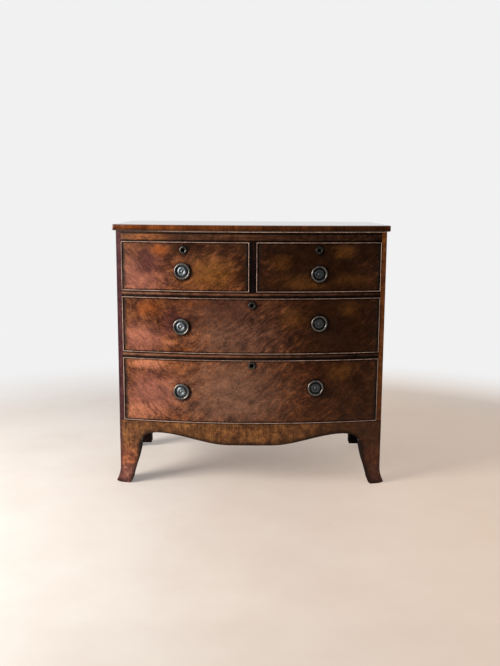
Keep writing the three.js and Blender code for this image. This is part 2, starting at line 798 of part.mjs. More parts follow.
// A whole drawer, with its bead, lock, escutcheon and handles
function addDrawer({ name, left, right, low, high, handles, keyholeShares }) {
  const drawer = new THREE.Group();
  chest.add(drawer);
  const edges = {
    left: left + drawerSlack,
    right: right - drawerSlack,
    low: low + runningGap,
    high: high - drawerHeadroom,
    liningHigh: high - drawerHeadroom - liningDrop,
  };
  const at = ([across, up]) => [left + (right - left) * across, low + (high - low) * up];
  const [keyX, keyZ] = at(keyholeShares);

  // Front: a bowed slab, rebated all round for the bead
  const rebate = beadDepth + seam;
  const inset = beadWidth + seam;
  const rear = bowedSlab(edges.left, edges.right, edges.low, edges.high, rebate, frontThickness - rebate);
  const face = bowedSlab(
    edges.left + inset,
    edges.right - inset,
    edges.low + inset,
    edges.high - inset,
    0,
    frontThickness,
  );
  let front = rear.add(face);

  // Sides, back and bottom, with the grooves that hold the bottom
  const liningLeft = edges.left + liningThickness;
  const liningRight = edges.right - liningThickness;
  const bottomLow = edges.low + bottomLift;
  const bottomHigh = bottomLow + drawerBottomThickness;
  const grooveLeft = liningLeft - grooveDepth;
  const grooveRight = liningRight + grooveDepth;
  const grooveCut = block(
    grooveLeft,
    grooveRight,
    -bowRise - overrun,
    caseDepth,
    bottomLow - seam,
    bottomHigh + seam,
  ).intersect(behindBow(frontThickness - grooveDepth));
  front = front.subtract(grooveCut);

  const lining = (x0, x1) => {
    const faceX = (x0 + x1) / 2;
    const stock = block(x0, x1, -bowRise, drawerBackFace, edges.low, edges.liningHigh);
    const body = stock.intersect(behindBow(frontThickness + seam));
    for (const socket of tailShapes(edges, x0 - seam, x1 + seam, faceX, seam)) {
      front = front.subtract(socket);
    }
    return joined(body, tailShapes(edges, x0, x1, faceX, 0)).subtract(grooveCut);
  };
  addTo(drawer, `${name}_drawer_left_side`, lining(edges.left, liningLeft), liningWood);
  addTo(drawer, `${name}_drawer_right_side`, lining(liningRight, edges.right), liningWood);

  const backFront = drawerBackFace - drawerBackThickness;
  const backHigh = edges.liningHigh - drawerBackDrop;
  const back = block(
    liningLeft + seam,
    liningRight - seam,
    backFront,
    drawerBackFace,
    bottomHigh + seam,
    backHigh,
  );
  addTo(drawer, `${name}_drawer_back`, back, liningWood);
  const bottom = block(
    grooveLeft + seam,
    grooveRight - seam,
    -bowRise,
    drawerBackFace,
    bottomLow,
    bottomHigh,
  ).intersect(behindBow(frontThickness - grooveDepth + seam));
  addTo(drawer, `${name}_drawer_bottom`, bottom, liningWood);

  // Keyhole, lock and escutcheon
  const keyhole = boreGeometry(keyTubeRadius + seam, -overrun, frontThickness);
  front = front.subtract(cutterOnBow(keyhole, keyX, keyZ)).subtract(lockRecess(keyX, keyZ));
  drawer.add(placeOnBow(meshOf(`${name}_lock`, lock, lockIron), keyX, keyZ));
  drawer.add(placeOnBow(meshOf(`${name}_escutcheon`, escutcheon, agedBrass), keyX, keyZ));

  // Handles: the bolt goes through the front, and the ring hangs in the plate's knuckle
  for (const handle of handles) {
    const [x, z] = at(handle.placeShares);
    const hole = boreGeometry(shankRadius + shankClearance, -overrun, frontThickness + overrun);
    front = front.subtract(cutterOnBow(hole, x, z));
    const group = placeOnBow(new THREE.Group(), x, z);
    group.add(meshOf(`${handle.name}_backplate`, backplate, agedBrass));
    const hung = meshOf(`${handle.name}_ring`, ring, agedBrass);
    hung.position.y = -ringAhead;
    group.add(hung);
    drawer.add(group);
  }
  addTo(drawer, `${name}_drawer_front`, front, figuredWood);
  addTo(drawer, `${name}_cockbead`, beadFrame(edges), beadWood);
}
drawers.forEach(addDrawer);

export default chest;
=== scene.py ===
# %% [markdown]
# # A bow front chest of drawers
#
# Two short drawers stand over two long ones, on feet that splay at the toe. The joinery is
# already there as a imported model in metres. Each piece below is drawn where its plain solid
# lies and takes its place, so nothing has to be fitted afterwards. Blender adds what the
# solids leave out: true curves, softened arrises, turned brass, and old polished mahogany.

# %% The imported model
import json
import math
from functools import partial

import bmesh
import bpy
from mathutils import Matrix, Vector

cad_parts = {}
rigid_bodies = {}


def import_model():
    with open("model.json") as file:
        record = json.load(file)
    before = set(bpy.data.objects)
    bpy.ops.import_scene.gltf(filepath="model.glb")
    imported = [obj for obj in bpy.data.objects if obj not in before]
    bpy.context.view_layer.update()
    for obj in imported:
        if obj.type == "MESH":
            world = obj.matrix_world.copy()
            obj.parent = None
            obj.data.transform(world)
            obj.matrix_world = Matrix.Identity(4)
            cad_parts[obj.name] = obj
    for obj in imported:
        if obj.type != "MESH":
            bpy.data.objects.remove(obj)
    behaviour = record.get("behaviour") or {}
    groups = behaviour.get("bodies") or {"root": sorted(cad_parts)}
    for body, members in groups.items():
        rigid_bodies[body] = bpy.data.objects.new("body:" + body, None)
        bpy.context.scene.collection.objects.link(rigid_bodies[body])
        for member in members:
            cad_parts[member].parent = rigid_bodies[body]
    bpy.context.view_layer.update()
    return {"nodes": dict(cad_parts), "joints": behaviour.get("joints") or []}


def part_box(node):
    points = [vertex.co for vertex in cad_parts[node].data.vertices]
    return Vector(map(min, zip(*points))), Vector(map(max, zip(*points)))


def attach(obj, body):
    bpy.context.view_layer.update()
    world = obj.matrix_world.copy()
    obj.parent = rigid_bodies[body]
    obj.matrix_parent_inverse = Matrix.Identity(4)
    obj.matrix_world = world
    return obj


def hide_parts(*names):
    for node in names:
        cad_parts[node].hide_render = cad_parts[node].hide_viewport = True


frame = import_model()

MM = 0.001
TINY = 1e-6
X_AXIS, Y_AXIS, Z_AXIS = 0, 1, 2

# %% [markdown]
# ## The camera
#
# The chest is seen straight from the front, from just above its top. A focal length of 800
# pixels in a frame 666 pixels high is a lens of 43 mm on Blender's 36 mm sensor. The camera
# looks down by nine and a half degrees and is turned a little about its own axis.

# %% The camera
CAMERA_PLACE = Vector((-0.003, -2.798, 0.95))
CAMERA_DIP = math.radians(9.44)
CAMERA_ROLL = math.radians(0.3)
LENS = 43.24

camera_data = bpy.data.cameras.new("camera")
camera_data.lens = LENS
camera = bpy.data.objects.new("camera", camera_data)
level = Matrix.Rotation(math.pi / 2 - CAMERA_DIP, 4, "X")
camera.matrix_world = Matrix.Translation(CAMERA_PLACE) @ level @ Matrix.Rotation(CAMERA_ROLL, 4, "Z")
bpy.context.scene.collection.objects.link(camera)
bpy.context.scene.camera = camera
bpy.context.scene.view_settings.view_transform = "Standard"
print("camera", round((CAMERA_PLACE - Vector((0, 0, CAMERA_PLACE.z))).length, 2), "m away")

# %% [markdown]
# ## The bow
#
# The front is an arc through the two front corners of the case. Every front piece is drawn
# flat first, as it would be on the bench: X runs along it, Y is the depth behind its face and
# Z is up. Then each point slides back to the arc, which keeps joints and holes where they
# belong and makes one small function serve the top, the drawers, the beads and the apron.

# %% The bow
BOW_RISE = 52 * MM
BOW_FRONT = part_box("lower_rail")[0].y
CASE_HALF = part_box("right_side")[1].x
BOW_RADIUS = (CASE_HALF**2 + BOW_RISE**2) / (2 * BOW_RISE)
BOW_CENTRE = BOW_FRONT + BOW_RADIUS
CORNER = BOW_FRONT + BOW_RISE
COLUMN = 12 * MM


def bow(x, depth=0.0):
    """How far back the front lies at x, for a surface that lies depth behind the face."""
    return BOW_CENTRE - math.sqrt((BOW_RADIUS - depth) ** 2 - x**2)


def slice_at(bm, axis, place):
    """Cuts right through a piece, square to X, Y or Z."""
    normal = Vector([i == axis for i in range(3)])
    geometry = bm.verts[:] + bm.edges[:] + bm.faces[:]
    bmesh.ops.bisect_plane(bm, geom=geometry, dist=TINY, plane_co=normal * place, plane_no=normal)


def slice_along(bm, axis, step):
    """Slices a piece square to an axis, so that it can follow a curve."""
    along = [vert.co[axis] for vert in bm.verts]
    first, last = min(along), max(along)
    count = max(1, round((last - first) / step))
    for i in range(1, count):
        slice_at(bm, axis, first + (last - first) * i / count)


def bend(bm, deepest=1.0):
    """Bends a flat drawing to the bow. What lies deeper than deepest is measured from the corners."""
    for vert in bm.verts:
        x, depth = vert.co.x, vert.co.y
        vert.co.y = bow(x, depth) if depth <= deepest else CORNER + depth


print("radius of the bow:", round(BOW_RADIUS, 3), "m")

# %% [markdown]
# ## Tools for meshes
#
# Most pieces of a chest are boards, so a box is drawn, cut and bevelled. A board's arrises
# were never razor sharp and have rubbed round since, and it is these narrow bevels that catch
# the light. Weighted normals keep the broad faces flat while the bevels turn smoothly.

# %% Tools for meshes
CREASE = math.radians(38)
CORNER_ANGLE = math.radians(25)
SLIVER = 0.02 * MM
ARRIS = 0.8 * MM


def add_box(bm, x0, x1, y0, y1, z0, z1):
    made = bmesh.ops.create_cube(bm, size=1)["verts"]
    bmesh.ops.scale(bm, vec=(x1 - x0, y1 - y0, z1 - z0), verts=made)
    bmesh.ops.translate(bm, vec=((x0 + x1) / 2, (y0 + y1) / 2, (z0 + z1) / 2), verts=made)
    return made


def add_rod(bm, radius, start, end, sides=24, end_radius=None):
    """A round rod, or a taper, between two points."""
    start, end = Vector(start), Vector(end)
    other = radius if end_radius is None else end_radius
    turn = (end - start).to_track_quat("Z", "Y").to_matrix().to_4x4()
    made = bmesh.ops.create_cone(
        bm, cap_ends=True, segments=sides, radius1=radius, radius2=other,
        depth=(end - start).length, matrix=Matrix.Translation((start + end) / 2) @ turn)
    return made["verts"]


def arrises(bm, wanted=lambda edge: True):
    """The edges where a piece turns a corner."""
    return [e for e in bm.edges if e.is_manifold and e.calc_face_angle() > CORNER_ANGLE and wanted(e)]


def round_off(bm, edges=None, radius=ARRIS, segments=2):
    bmesh.ops.bevel(
        bm, geom=edges or arrises(bm), offset=radius, offset_type="OFFSET", affect="EDGES",
        segments=segments, profile=0.5, material=-1, clamp_overlap=True)


def face_outwards(bm):
    """Turns every face outwards. Moved points leave stale normals, so those are renewed first."""
    bm.normal_update()
    bmesh.ops.recalc_face_normals(bm, faces=bm.faces)
    bm.normal_update()


def push(bm, faces, offset):
    """Extrudes faces by an offset, and gives the points that moved."""
    made = bmesh.ops.extrude_face_region(bm, geom=faces)["geom"]
    moved = [g for g in made if isinstance(g, bmesh.types.BMVert)]
    bmesh.ops.translate(bm, vec=offset, verts=moved)
    return moved


def new_mesh(name, bm):
    mesh = bpy.data.meshes.new(name)
    bm.to_mesh(mesh)
    bm.free()
    return mesh


def new_object(name, bm, materials=()):
    mesh = new_mesh(name, bm)
    for material in materials:
        mesh.materials.append(material)
    made = bpy.data.objects.new(name, mesh)
    bpy.context.scene.collection.objects.link(made)
    return made


def add_piece(name, bm, body, slot, materials, *replaced):
    """Makes a finished mesh a piece of the chest. It rides on a body and stands for some nodes."""
    bmesh.ops.dissolve_degenerate(bm, edges=bm.edges, dist=SLIVER)
    face_outwards(bm)
    for face in bm.faces:
        face.smooth = True
    for edge in bm.edges:
        edge.smooth = edge.is_manifold and edge.calc_face_angle() < CREASE
    piece = new_object(name, bm, materials)
    piece.modifiers.new("weighted_normals", "WEIGHTED_NORMAL").keep_sharp = True
    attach(piece, body)
    if replaced:
        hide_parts(*replaced)


def carve(bm, cutters):
    """Takes the shape of the cutters out of a piece, and gives what is left."""
    for shape in (bm, cutters):
        face_outwards(shape)
    stock, tool = new_object("stock", bm), new_object("cutters", cutters)
    cut = stock.modifiers.new("cut", "BOOLEAN")
    cut.operation = "DIFFERENCE"
    cut.solver = "EXACT"
    cut.object = tool
    carved = bmesh.new()
    carved.from_object(stock, bpy.context.evaluated_depsgraph_get())
    for loose in (stock, tool):
        bpy.data.objects.remove(loose)
    return carved


print("tools ready")

# %% [markdown]
# ## Tools for finishes
#
# A finish is a Principled shader fed by a few noises. A noise gets the size of its features
# in metres along X, Y and Z, so the grain of a board is simply a noise that is long one way
# and thin the others. Colours are written as they look on a screen, from 0 to 255. Finishes are
# made one after another, and wired holds the node tree of the one in hand.

# %% Tools for finishes
wired = {}


def paint(red, green, blue):
    """A colour as it looks on a screen, made linear."""
    return tuple(((value / 255 + 0.055) / 1.055) ** 2.4 for value in (red, green, blue))


def paints(*colours):
    return [paint(*colour) for colour in colours]


def feed(node, socket, value):
    """Sets an input of a node, by a link where the value is the output of another."""
    if isinstance(value, bpy.types.NodeSocket):
        wired["tree"].links.new(value, node.inputs[socket])
    else:
        node.inputs[socket].default_value = value


def add_node(kind, inputs=None, **settings):
    made = wired["tree"].nodes.new("ShaderNode" + kind)
    for setting, value in settings.items():
        setattr(made, setting, value)
    for socket, value in (inputs or {}).items():
        feed(made, socket, value)
    return made


def start_finish(name, **plain):
    """A new material, its shader and its Object coordinates. Nodes made next go into its tree."""
    material = bpy.data.materials.new(name)
    material.use_nodes = True
    wired["tree"] = material.node_tree
    shader = material.node_tree.nodes["Principled BSDF"]
    for socket, value in plain.items():
        feed(shader, socket.replace("_", " "), value)
    return material, shader, add_node("TexCoord").outputs["Object"]


def calc(operation, *values):
    return add_node("Math", dict(enumerate(values)), operation=operation).outputs[0]


add, subtract, multiply, multiply_add, minimum, maximum = (
    partial(calc, operation)
    for operation in ("ADD", "SUBTRACT", "MULTIPLY", "MULTIPLY_ADD", "MINIMUM", "MAXIMUM"))


def vector(operation, first, second=(0, 0, 0), output="Vector"):
    return add_node("VectorMath", {0: first, 1: second}, operation=operation).outputs[output]


def shifted(place, offset):
    return vector("ADD", place, offset)


def split(place):
    return add_node("SeparateXYZ", {0: place}).outputs


def length(place):
    return vector("LENGTH", place, output="Value")


def laid_out(place, sizes, middle=(0, 0, 0)):
    """Coordinates about a middle, counted in sizes along X, Y and Z."""
    inputs = {"Vector": place, "Location": middle, "Scale": sizes}
    return add_node("Mapping", inputs, vector_type="TEXTURE").outputs[0]


def noise(place, sizes, detail=3.0, rough=0.5, twist=0.0):
    """Noise whose features have these sizes along X, Y and Z, or one size all ways."""
    made = add_node("TexNoise", {
        "Vector": laid_out(place, sizes if isinstance(sizes, tuple) else (sizes,) * 3),
        "Scale": 1.0, "Detail": detail, "Roughness": rough, "Distortion": twist})
    return made.outputs["Fac"]


def oval(place, x, z, half_width, half_height):
    """Distance from the middle of an oval on the front, which is 1 along its edge."""
    return length(laid_out(place, (half_width, 1000, half_height), (x, 0, z)))


def layered(*layers):
    """Adds up noises, each by its share."""
    tone = 0.0
    for layer, share in layers:
        tone = multiply_add(layer, share, tone)
    return tone


def ease(value, start, end, low=0.0, high=1.0):
    """Goes smoothly from low to high while value goes from start to end."""
    made = add_node("MapRange", {
        "Value": value, "From Min": start, "From Max": end, "To Min": low, "To Max": high},
        interpolation_type="SMOOTHSTEP")
    return made.outputs[0]


def thin_line(value, place, half):
    """1 on a line where value is at place, 0 elsewhere."""
    return calc("COMPARE", value, place, half)


def ramp(factor, tones, places=None):
    """Runs through tones, at these places or evenly from 0 to 1."""
    made = add_node("ValToRGB", {"Fac": factor})
    elements = made.color_ramp.elements
    places = places or [i / (len(tones) - 1) for i in range(len(tones))]
    elements[0].position, elements[1].position = places[0], places[-1]
    for place in places[1:-1]:
        elements.new(place)
    for element, tone in zip(elements, tones):
        element.color = (*tone, 1)
    return made.outputs["Color"]


def blend(factor, below, above, mode="MIX"):
    """Lays one colour over another. A factor of 1 gives all of the upper one."""
    below, above = (c if isinstance(c, bpy.types.NodeSocket) else (*c, 1) for c in (below, above))
    made = add_node("Mix", {0: factor, 6: below, 7: above}, data_type="RGBA", blend_type=mode)
    return made.outputs[2]


def darken(colour, amount):
    """Multiplies a colour by 1 less the amount."""
    return blend(amount, colour, (0, 0, 0))


def finished(material, shader, colour, roughness, height, distance, strength):
    """Feeds a shader its colour, its roughness and a relief, whose depth is distance."""
    bump = add_node("Bump", {"Height": height, "Distance": distance, "Strength": strength})
    for socket, value in (("Base Color", colour), ("Roughness", roughness), ("Normal", bump.outputs[0])):
        feed(shader, socket, value)
    return material


print("a mid brown is", [round(value, 3) for value in paint(120, 72, 40)])

# %% [markdown]
# ## Plain mahogany
#
# The case, its rails, the top, the apron and the beads are mahogany of one kind, cut and
# coloured differently. Broad bands follow the grain, fine streaks run in them, and short dark
# pores lie over all. Ribbons of light and dark come from grain that leans to and fro, and the
# polish has worn unevenly, so gloss varies too.

# %% Plain mahogany


def grain_sizes(axis, along, across):
    """Feature sizes that are long along one axis."""
    return tuple(along if i == axis else across for i in range(3))


SPECULAR = 0.18
WAVES, PORES = 1.5, -0.12


def mahogany(
        name, tones, axis, gloss=0.36, seed=0.0, spread=0.11, adjust=None, banding=0.25, cloud=0.07,
        specular=SPECULAR):
    """Mahogany whose grain runs along X, Y or Z. tones go from its darkest to its lightest."""
    material, shader, place = start_finish(name, Specular_IOR_Level=specular)
    moved = shifted(place, (seed, seed / 2, seed / 3))
    mottle = noise(moved, 0.016, detail=4, rough=0.65)
    tone = layered(
        (mottle, 0.3),
        (noise(moved, grain_sizes(axis, 0.5, 0.035), detail=3, twist=0.4), banding),
        (noise(moved, cloud, detail=4, rough=0.6), 0.45 - banding),
        (noise(moved, grain_sizes(axis, 0.1, 0.003), detail=4, rough=0.6), 0.25))
    tone = ease(tone, 0.5 - spread, 0.5 + spread)
    colour = ramp(tone, tones)
    pores = ease(noise(moved, grain_sizes(axis, 0.005, 0.0004), detail=1), 0.6, 0.72)
    colour = darken(colour, multiply(pores, 0.45))
    if adjust:
        colour = adjust(place, colour)
    worn = ease(mottle, 0.3, 0.7, gloss * 0.8, gloss * 1.25)
    relief = layered((noise(moved, 0.05, detail=1), WAVES), (pores, PORES))
    return finished(material, shader, colour, worn, relief, 0.0004, 0.6)


DEEP = paints((40, 22, 13), (78, 47, 30), (118, 75, 48))
NEARLY_BLACK = paints((10, 6, 5), (19, 10, 8), (34, 19, 13))
# A near-black mahogany that stands for painted shade, on faces and blocks where light does not reach.
shade_wood = mahogany(
    "shade_mahogany", NEARLY_BLACK, Z_AXIS, gloss=0.8, seed=2.6, specular=0.05)
print("dark wood made")

# %% [markdown]
# ## Case finishes
#
# The front edge of the left side has gone purplish, and that of the right side is tinted a warm
# orange brown, which is painted warm light. The top has a band of cross grain round its edge,
# under a brighter polish; the band is painted darker to the right and under the nosing, as
# shade. The frieze shows an orange patch at its left end and is painted darker to the right, as
# shade. Apron and feet are veneered with the grain upright. Their right end is painted darker, as
# shade, and a painted shadow lies along the top of the apron, under the bottom drawer. Grime has
# settled along their lower edges, so those pieces carry an attribute, from_edge, which says how
# far each point is from such an edge.

# %% Case finishes
SIDE_TONES = paints((58, 28, 18), (98, 52, 32), (136, 80, 50))
PLUM_TINT = (0.4, 0.37, 1.0)
# Painted warm light: a warm tint on the right side's front edge, as if warm light bounced onto it.
WARM_LIGHT_TINT = (1.5, 1.6, 0.8)
TOP_TONES = paints((58, 26, 10), (98, 50, 20), (142, 80, 36))
APRON_TONES = paints((64, 38, 20), (112, 70, 37), (160, 106, 58))
SEPIA = paint(58, 30, 18)
PLUM_EDGE = paint(70, 34, 38)
CROSSBAND = 42 * MM
FRONT_EDGE = (CORNER + 0.0014, CORNER + 0.0002)
TOP_LOW, TOP_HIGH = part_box("top")
FRIEZE_LOW, FRIEZE_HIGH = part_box("frieze_rail")
APRON_LOW, APRON_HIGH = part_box("apron")
TOE_JOINT = 66 * MM
FRIEZE_PATCH = (-0.345, 0.835, 0.075, 0.05)
FRIEZE_GLOW = paints((98, 52, 28), (180, 110, 58))
# Heights over which the underside of the nosing is painted darker, as shade.
NOSING_SHADE = (TOP_LOW.z + 0.011, TOP_LOW.z + 0.002)
LEG_TINT = (1.75, 1.42, 2.0)
TOE_TINT = (0.8, 0.95, 1.5)


def tinted_in_front(tint):
    """Tints only the front edge of a side, which is the edge that stands beside the drawers."""

    def adjust(place, colour):
        depth = split(place)[1]
        in_front = ease(depth, *FRONT_EDGE)
        return blend(in_front, colour, tint, "MULTIPLY")

    return adjust


def crossbanded(place, colour):
    """Lays a band of cross grain round the front and the ends of the top."""
    parts = split(place)
    from_end = subtract(TOP_HIGH.x, calc("ABSOLUTE", parts[0]))
    flat = vector("MULTIPLY", shifted(place, (0, -BOW_CENTRE, 0)), (1, 1, 0))
    from_front = subtract(BOW_RADIUS + BOW_FRONT - TOP_LOW.y, length(flat))
    inwards = minimum(from_end, from_front)
    is_end = calc("LESS_THAN", from_end, from_front)
    front_grain = noise(place, (0.004, 0.06, 0.06), detail=4, rough=0.6)
    end_grain = noise(place, (0.06, 0.004, 0.06), detail=4, rough=0.6)
    grain = add_node("Mix", {0: is_end, 2: front_grain, 3: end_grain}).outputs[0]
    broad = noise(place, 0.06, detail=3)
    tone = layered((grain, 0.45), (broad, 0.55))
    band = ramp(tone, TOP_TONES, (0.32, 0.5, 0.66))
    # Painted shade: the band darkens towards the right end, where the light falls off.
    band = darken(band, ease(parts[0], -0.3, 0.2, 0, 0.5))
    colour = blend(ease(inwards, CROSSBAND + 0.0004, CROSSBAND), colour, band)
    joint = thin_line(inwards, CROSSBAND, 0.0007)
    colour = darken(colour, multiply(joint, 0.8))
    # Painted shade: the underside of the nosing is darker.
    return darken(colour, ease(parts[2], *NOSING_SHADE, 0, 0.6))


def friezed(place, colour):
    """Leaves an orange patch at the frieze's left end, painted shade towards its right end, a painted shadow
    with dark wax along its top, and dark wax along its bottom.
    """
    out = oval(place, *FRIEZE_PATCH)
    ragged = noise(place, (0.02, 0.02, 0.008), detail=4, rough=0.65)
    patch = ease(multiply_add(ragged, 1.2, out), 2.2, 0.6, 0, 0.8)
    glow = blend(ease(ragged, 0.35, 0.65), *FRIEZE_GLOW)
    colour = blend(patch, colour, glow)
    x, _, height = split(place)
    # Painted shade: darker towards the right end.
    colour = darken(colour, ease(x, 0, 0.3, 0, 0.5))
    height = multiply_add(ragged, 0.004, height)
    # Along the top, a painted shadow of the top's overhang and the bead under it, with dark wax; along the
    # bottom, dark wax.
    upper = ease(height, FRIEZE_HIGH.z - 0.010, FRIEZE_HIGH.z - 0.006, 0, 0.85)
    lower = ease(height, FRIEZE_LOW.z + 0.009, FRIEZE_LOW.z + 0.005, 0, 0.85)
    return darken(colour, maximum(upper, lower))


def grimy_and_shaded(place, colour):
    """Darkens lower and inner edges, the toes and the joint above each toe with grime, and paints shade over
    the right end and a shadow under the bottom drawer.
    """
    x, depth, height = split(place)
    ragged = noise(place, 0.01, detail=3, rough=0.6)
    blotches = noise(place, (0.02, 0.02, 0.014), detail=6, rough=0.75)
    colour = blend(ease(blotches, 0.48, 0.64, 0, 0.55), colour, SEPIA)
    specks = noise(place, 0.005, detail=3, rough=0.7)
    colour = darken(colour, ease(specks, 0.53, 0.68, 0, 0.6))
    leg = ease(height, APRON_LOW.z + 0.02, TOE_JOINT)
    colour = blend(leg, colour, LEG_TINT, "MULTIPLY")
    toe = ease(height, TOE_JOINT + 0.006, TOE_JOINT - 0.012)
    colour = blend(toe, colour, TOE_TINT, "MULTIPLY")
    # Painted shade: the right end is darker.
    shaded_end = ease(x, 0.05, 0.35, 0, 0.72)
    colour = blend(shaded_end, colour, SEPIA)
    left_edge = ease(x, 0.013 - CASE_HALF, 0.004 - CASE_HALF, 0, 0.75)
    in_front = ease(depth, *FRONT_EDGE)
    colour = blend(multiply(left_edge, in_front), colour, PLUM_EDGE)
    from_edge = add_node("Attribute", attribute_name="from_edge").outputs["Fac"]
    drips = multiply(ragged, 0.014)
    edge = ease(add(from_edge, drips), 0.026, 0.008, 0, 0.8)
    sole = ease(add(height, drips), 0.026, 0.01, 0, 0.6)
    joint = multiply(thin_line(height, TOE_JOINT, 0.0006), 0.3)
    # Painted shadow: a dark line along the top of the apron, under the bottom drawer.
    shadow_under_drawer = ease(height, APRON_HIGH.z - 0.005, APRON_HIGH.z - 0.001, 0, 0.75)
    grime_and_shade = edge
    for mark in (sole, joint, shadow_under_drawer):
        grime_and_shade = maximum(grime_and_shade, mark)
    return darken(colour, grime_and_shade)


left_wood = mahogany(
    "left_side_mahogany", SIDE_TONES, Z_AXIS, seed=3.1, spread=0.17, adjust=tinted_in_front(PLUM_TINT))
right_wood = mahogany(
    "right_side_mahogany", SIDE_TONES, Z_AXIS, seed=5.3, spread=0.17, adjust=tinted_in_front(WARM_LIGHT_TINT))
top_wood = mahogany(
    "top_mahogany", TOP_TONES, X_AXIS, gloss=0.06, seed=7.9, adjust=crossbanded, specular=0.8)
frieze_wood = mahogany("frieze_mahogany", DEEP, X_AXIS, seed=4.4, spread=0.16, adjust=friezed)
apron_wood = mahogany(
    "apron_mahogany", APRON_TONES, Z_AXIS, seed=9.1, spread=0.15, adjust=grimy_and_shaded, banding=0.05,
    cloud=0.022)
print("case finishes made")

# %% [markdown]
# ## Figured drawer fronts
#
# The four fronts were veneered from one flitch of figured mahogany, cut where a branch left
# the trunk. Its streaks fan up from a spine: steeply on the left, and long and slanting on
# the right. So the height is lifted along a rounded V before any noise reads it, and streaks,
# mottle and stains all follow the same curves. A patch is an oval of another tint, placed by
# shares of its front; some patches are painted shade, and some a painted sheen over the wood's
# rosy colour. Fine dark specks lie over all, and old polish stays dark along the beads and at
# the ends. Round the metal, old polish and a painted shadow, set a little to the lower right,
# darken the wood.

# %% Figured drawer fronts
SPINE_ROUND = 30 * MM
RISES = (1.5, 0.7)
FLAME = paints((38, 18, 12), (72, 36, 21), (108, 60, 34), (142, 84, 48), (178, 112, 68))
# The wood's rosy colour with a painted sheen, for patches at the lower left of the fronts.
ROSE_AND_SHEEN = paint(148, 90, 74)
PLUM = paint(84, 44, 42)
ORANGE = paint(176, 92, 38)
GOLD = paint(122, 76, 30)
HAZEL = paint(120, 85, 67)
SALMON = paint(188, 118, 86)
OCHRE = paint(112, 68, 26)
MAUVE = paint(92, 58, 46)
# Painted shade: a dark tint for the right-hand parts of the fronts and along their tops, under the rails.
PAINTED_SHADE_UMBER = paint(54, 28, 11)
# Painted shadow: a near-black tint along the top of the upper right front, under the rail.
UNDER_RAIL_SHADOW = paint(34, 17, 7)
STRIP = paint(40, 30, 22)
BEAD_GRIME = (12.5 * MM, 7.5 * MM)
END_GRIME = (28 * MM, 17 * MM)
SHADE_SHIFT = 3 * MM
HANDLE_SHADE = (48 * MM, 33 * MM)
KEY_SHADE = (31 * MM, 20 * MM)
SWAY = (0.04, 0, 0.05)
SHADES = ((0.42,) * 3, (1.5,) * 3)
PLUG_RADIUS = 5 * MM


def plume(place, spine):
    """Coordinates that follow the figure: X along the front, Z across streaks that fan up."""
    left, right = RISES
    x, _, z = split(place)
    out = subtract(x, spine)
    rounded = calc("SQRT", multiply_add(out, out, SPINE_ROUND**2))
    lift = multiply(rounded, (right + left) / 2)
    lift = multiply_add(out, (right - left) / 2, lift)
    return add_node("CombineXYZ", {0: x, 2: subtract(z, lift)}).outputs[0]


def distance_to(place, x, z):
    """Distance over the front from a point on it."""
    return length(vector("MULTIPLY", shifted(place, (-x, 0, -z)), (1, 0, 1)))


def patch_mask(place, ragged, area, across, up, half_width, half_height, strength):
    """Where an oval patch lies: 1 in its middle, falling off along a ragged edge."""
    left, right, low, high = area
    x, z = left + (right - left) * across, low + (high - low) * up
    out = oval(place, x, z, half_width, half_height)
    return ease(multiply_add(ragged, 2.0, out), 2.1, 1.2, 0, strength)


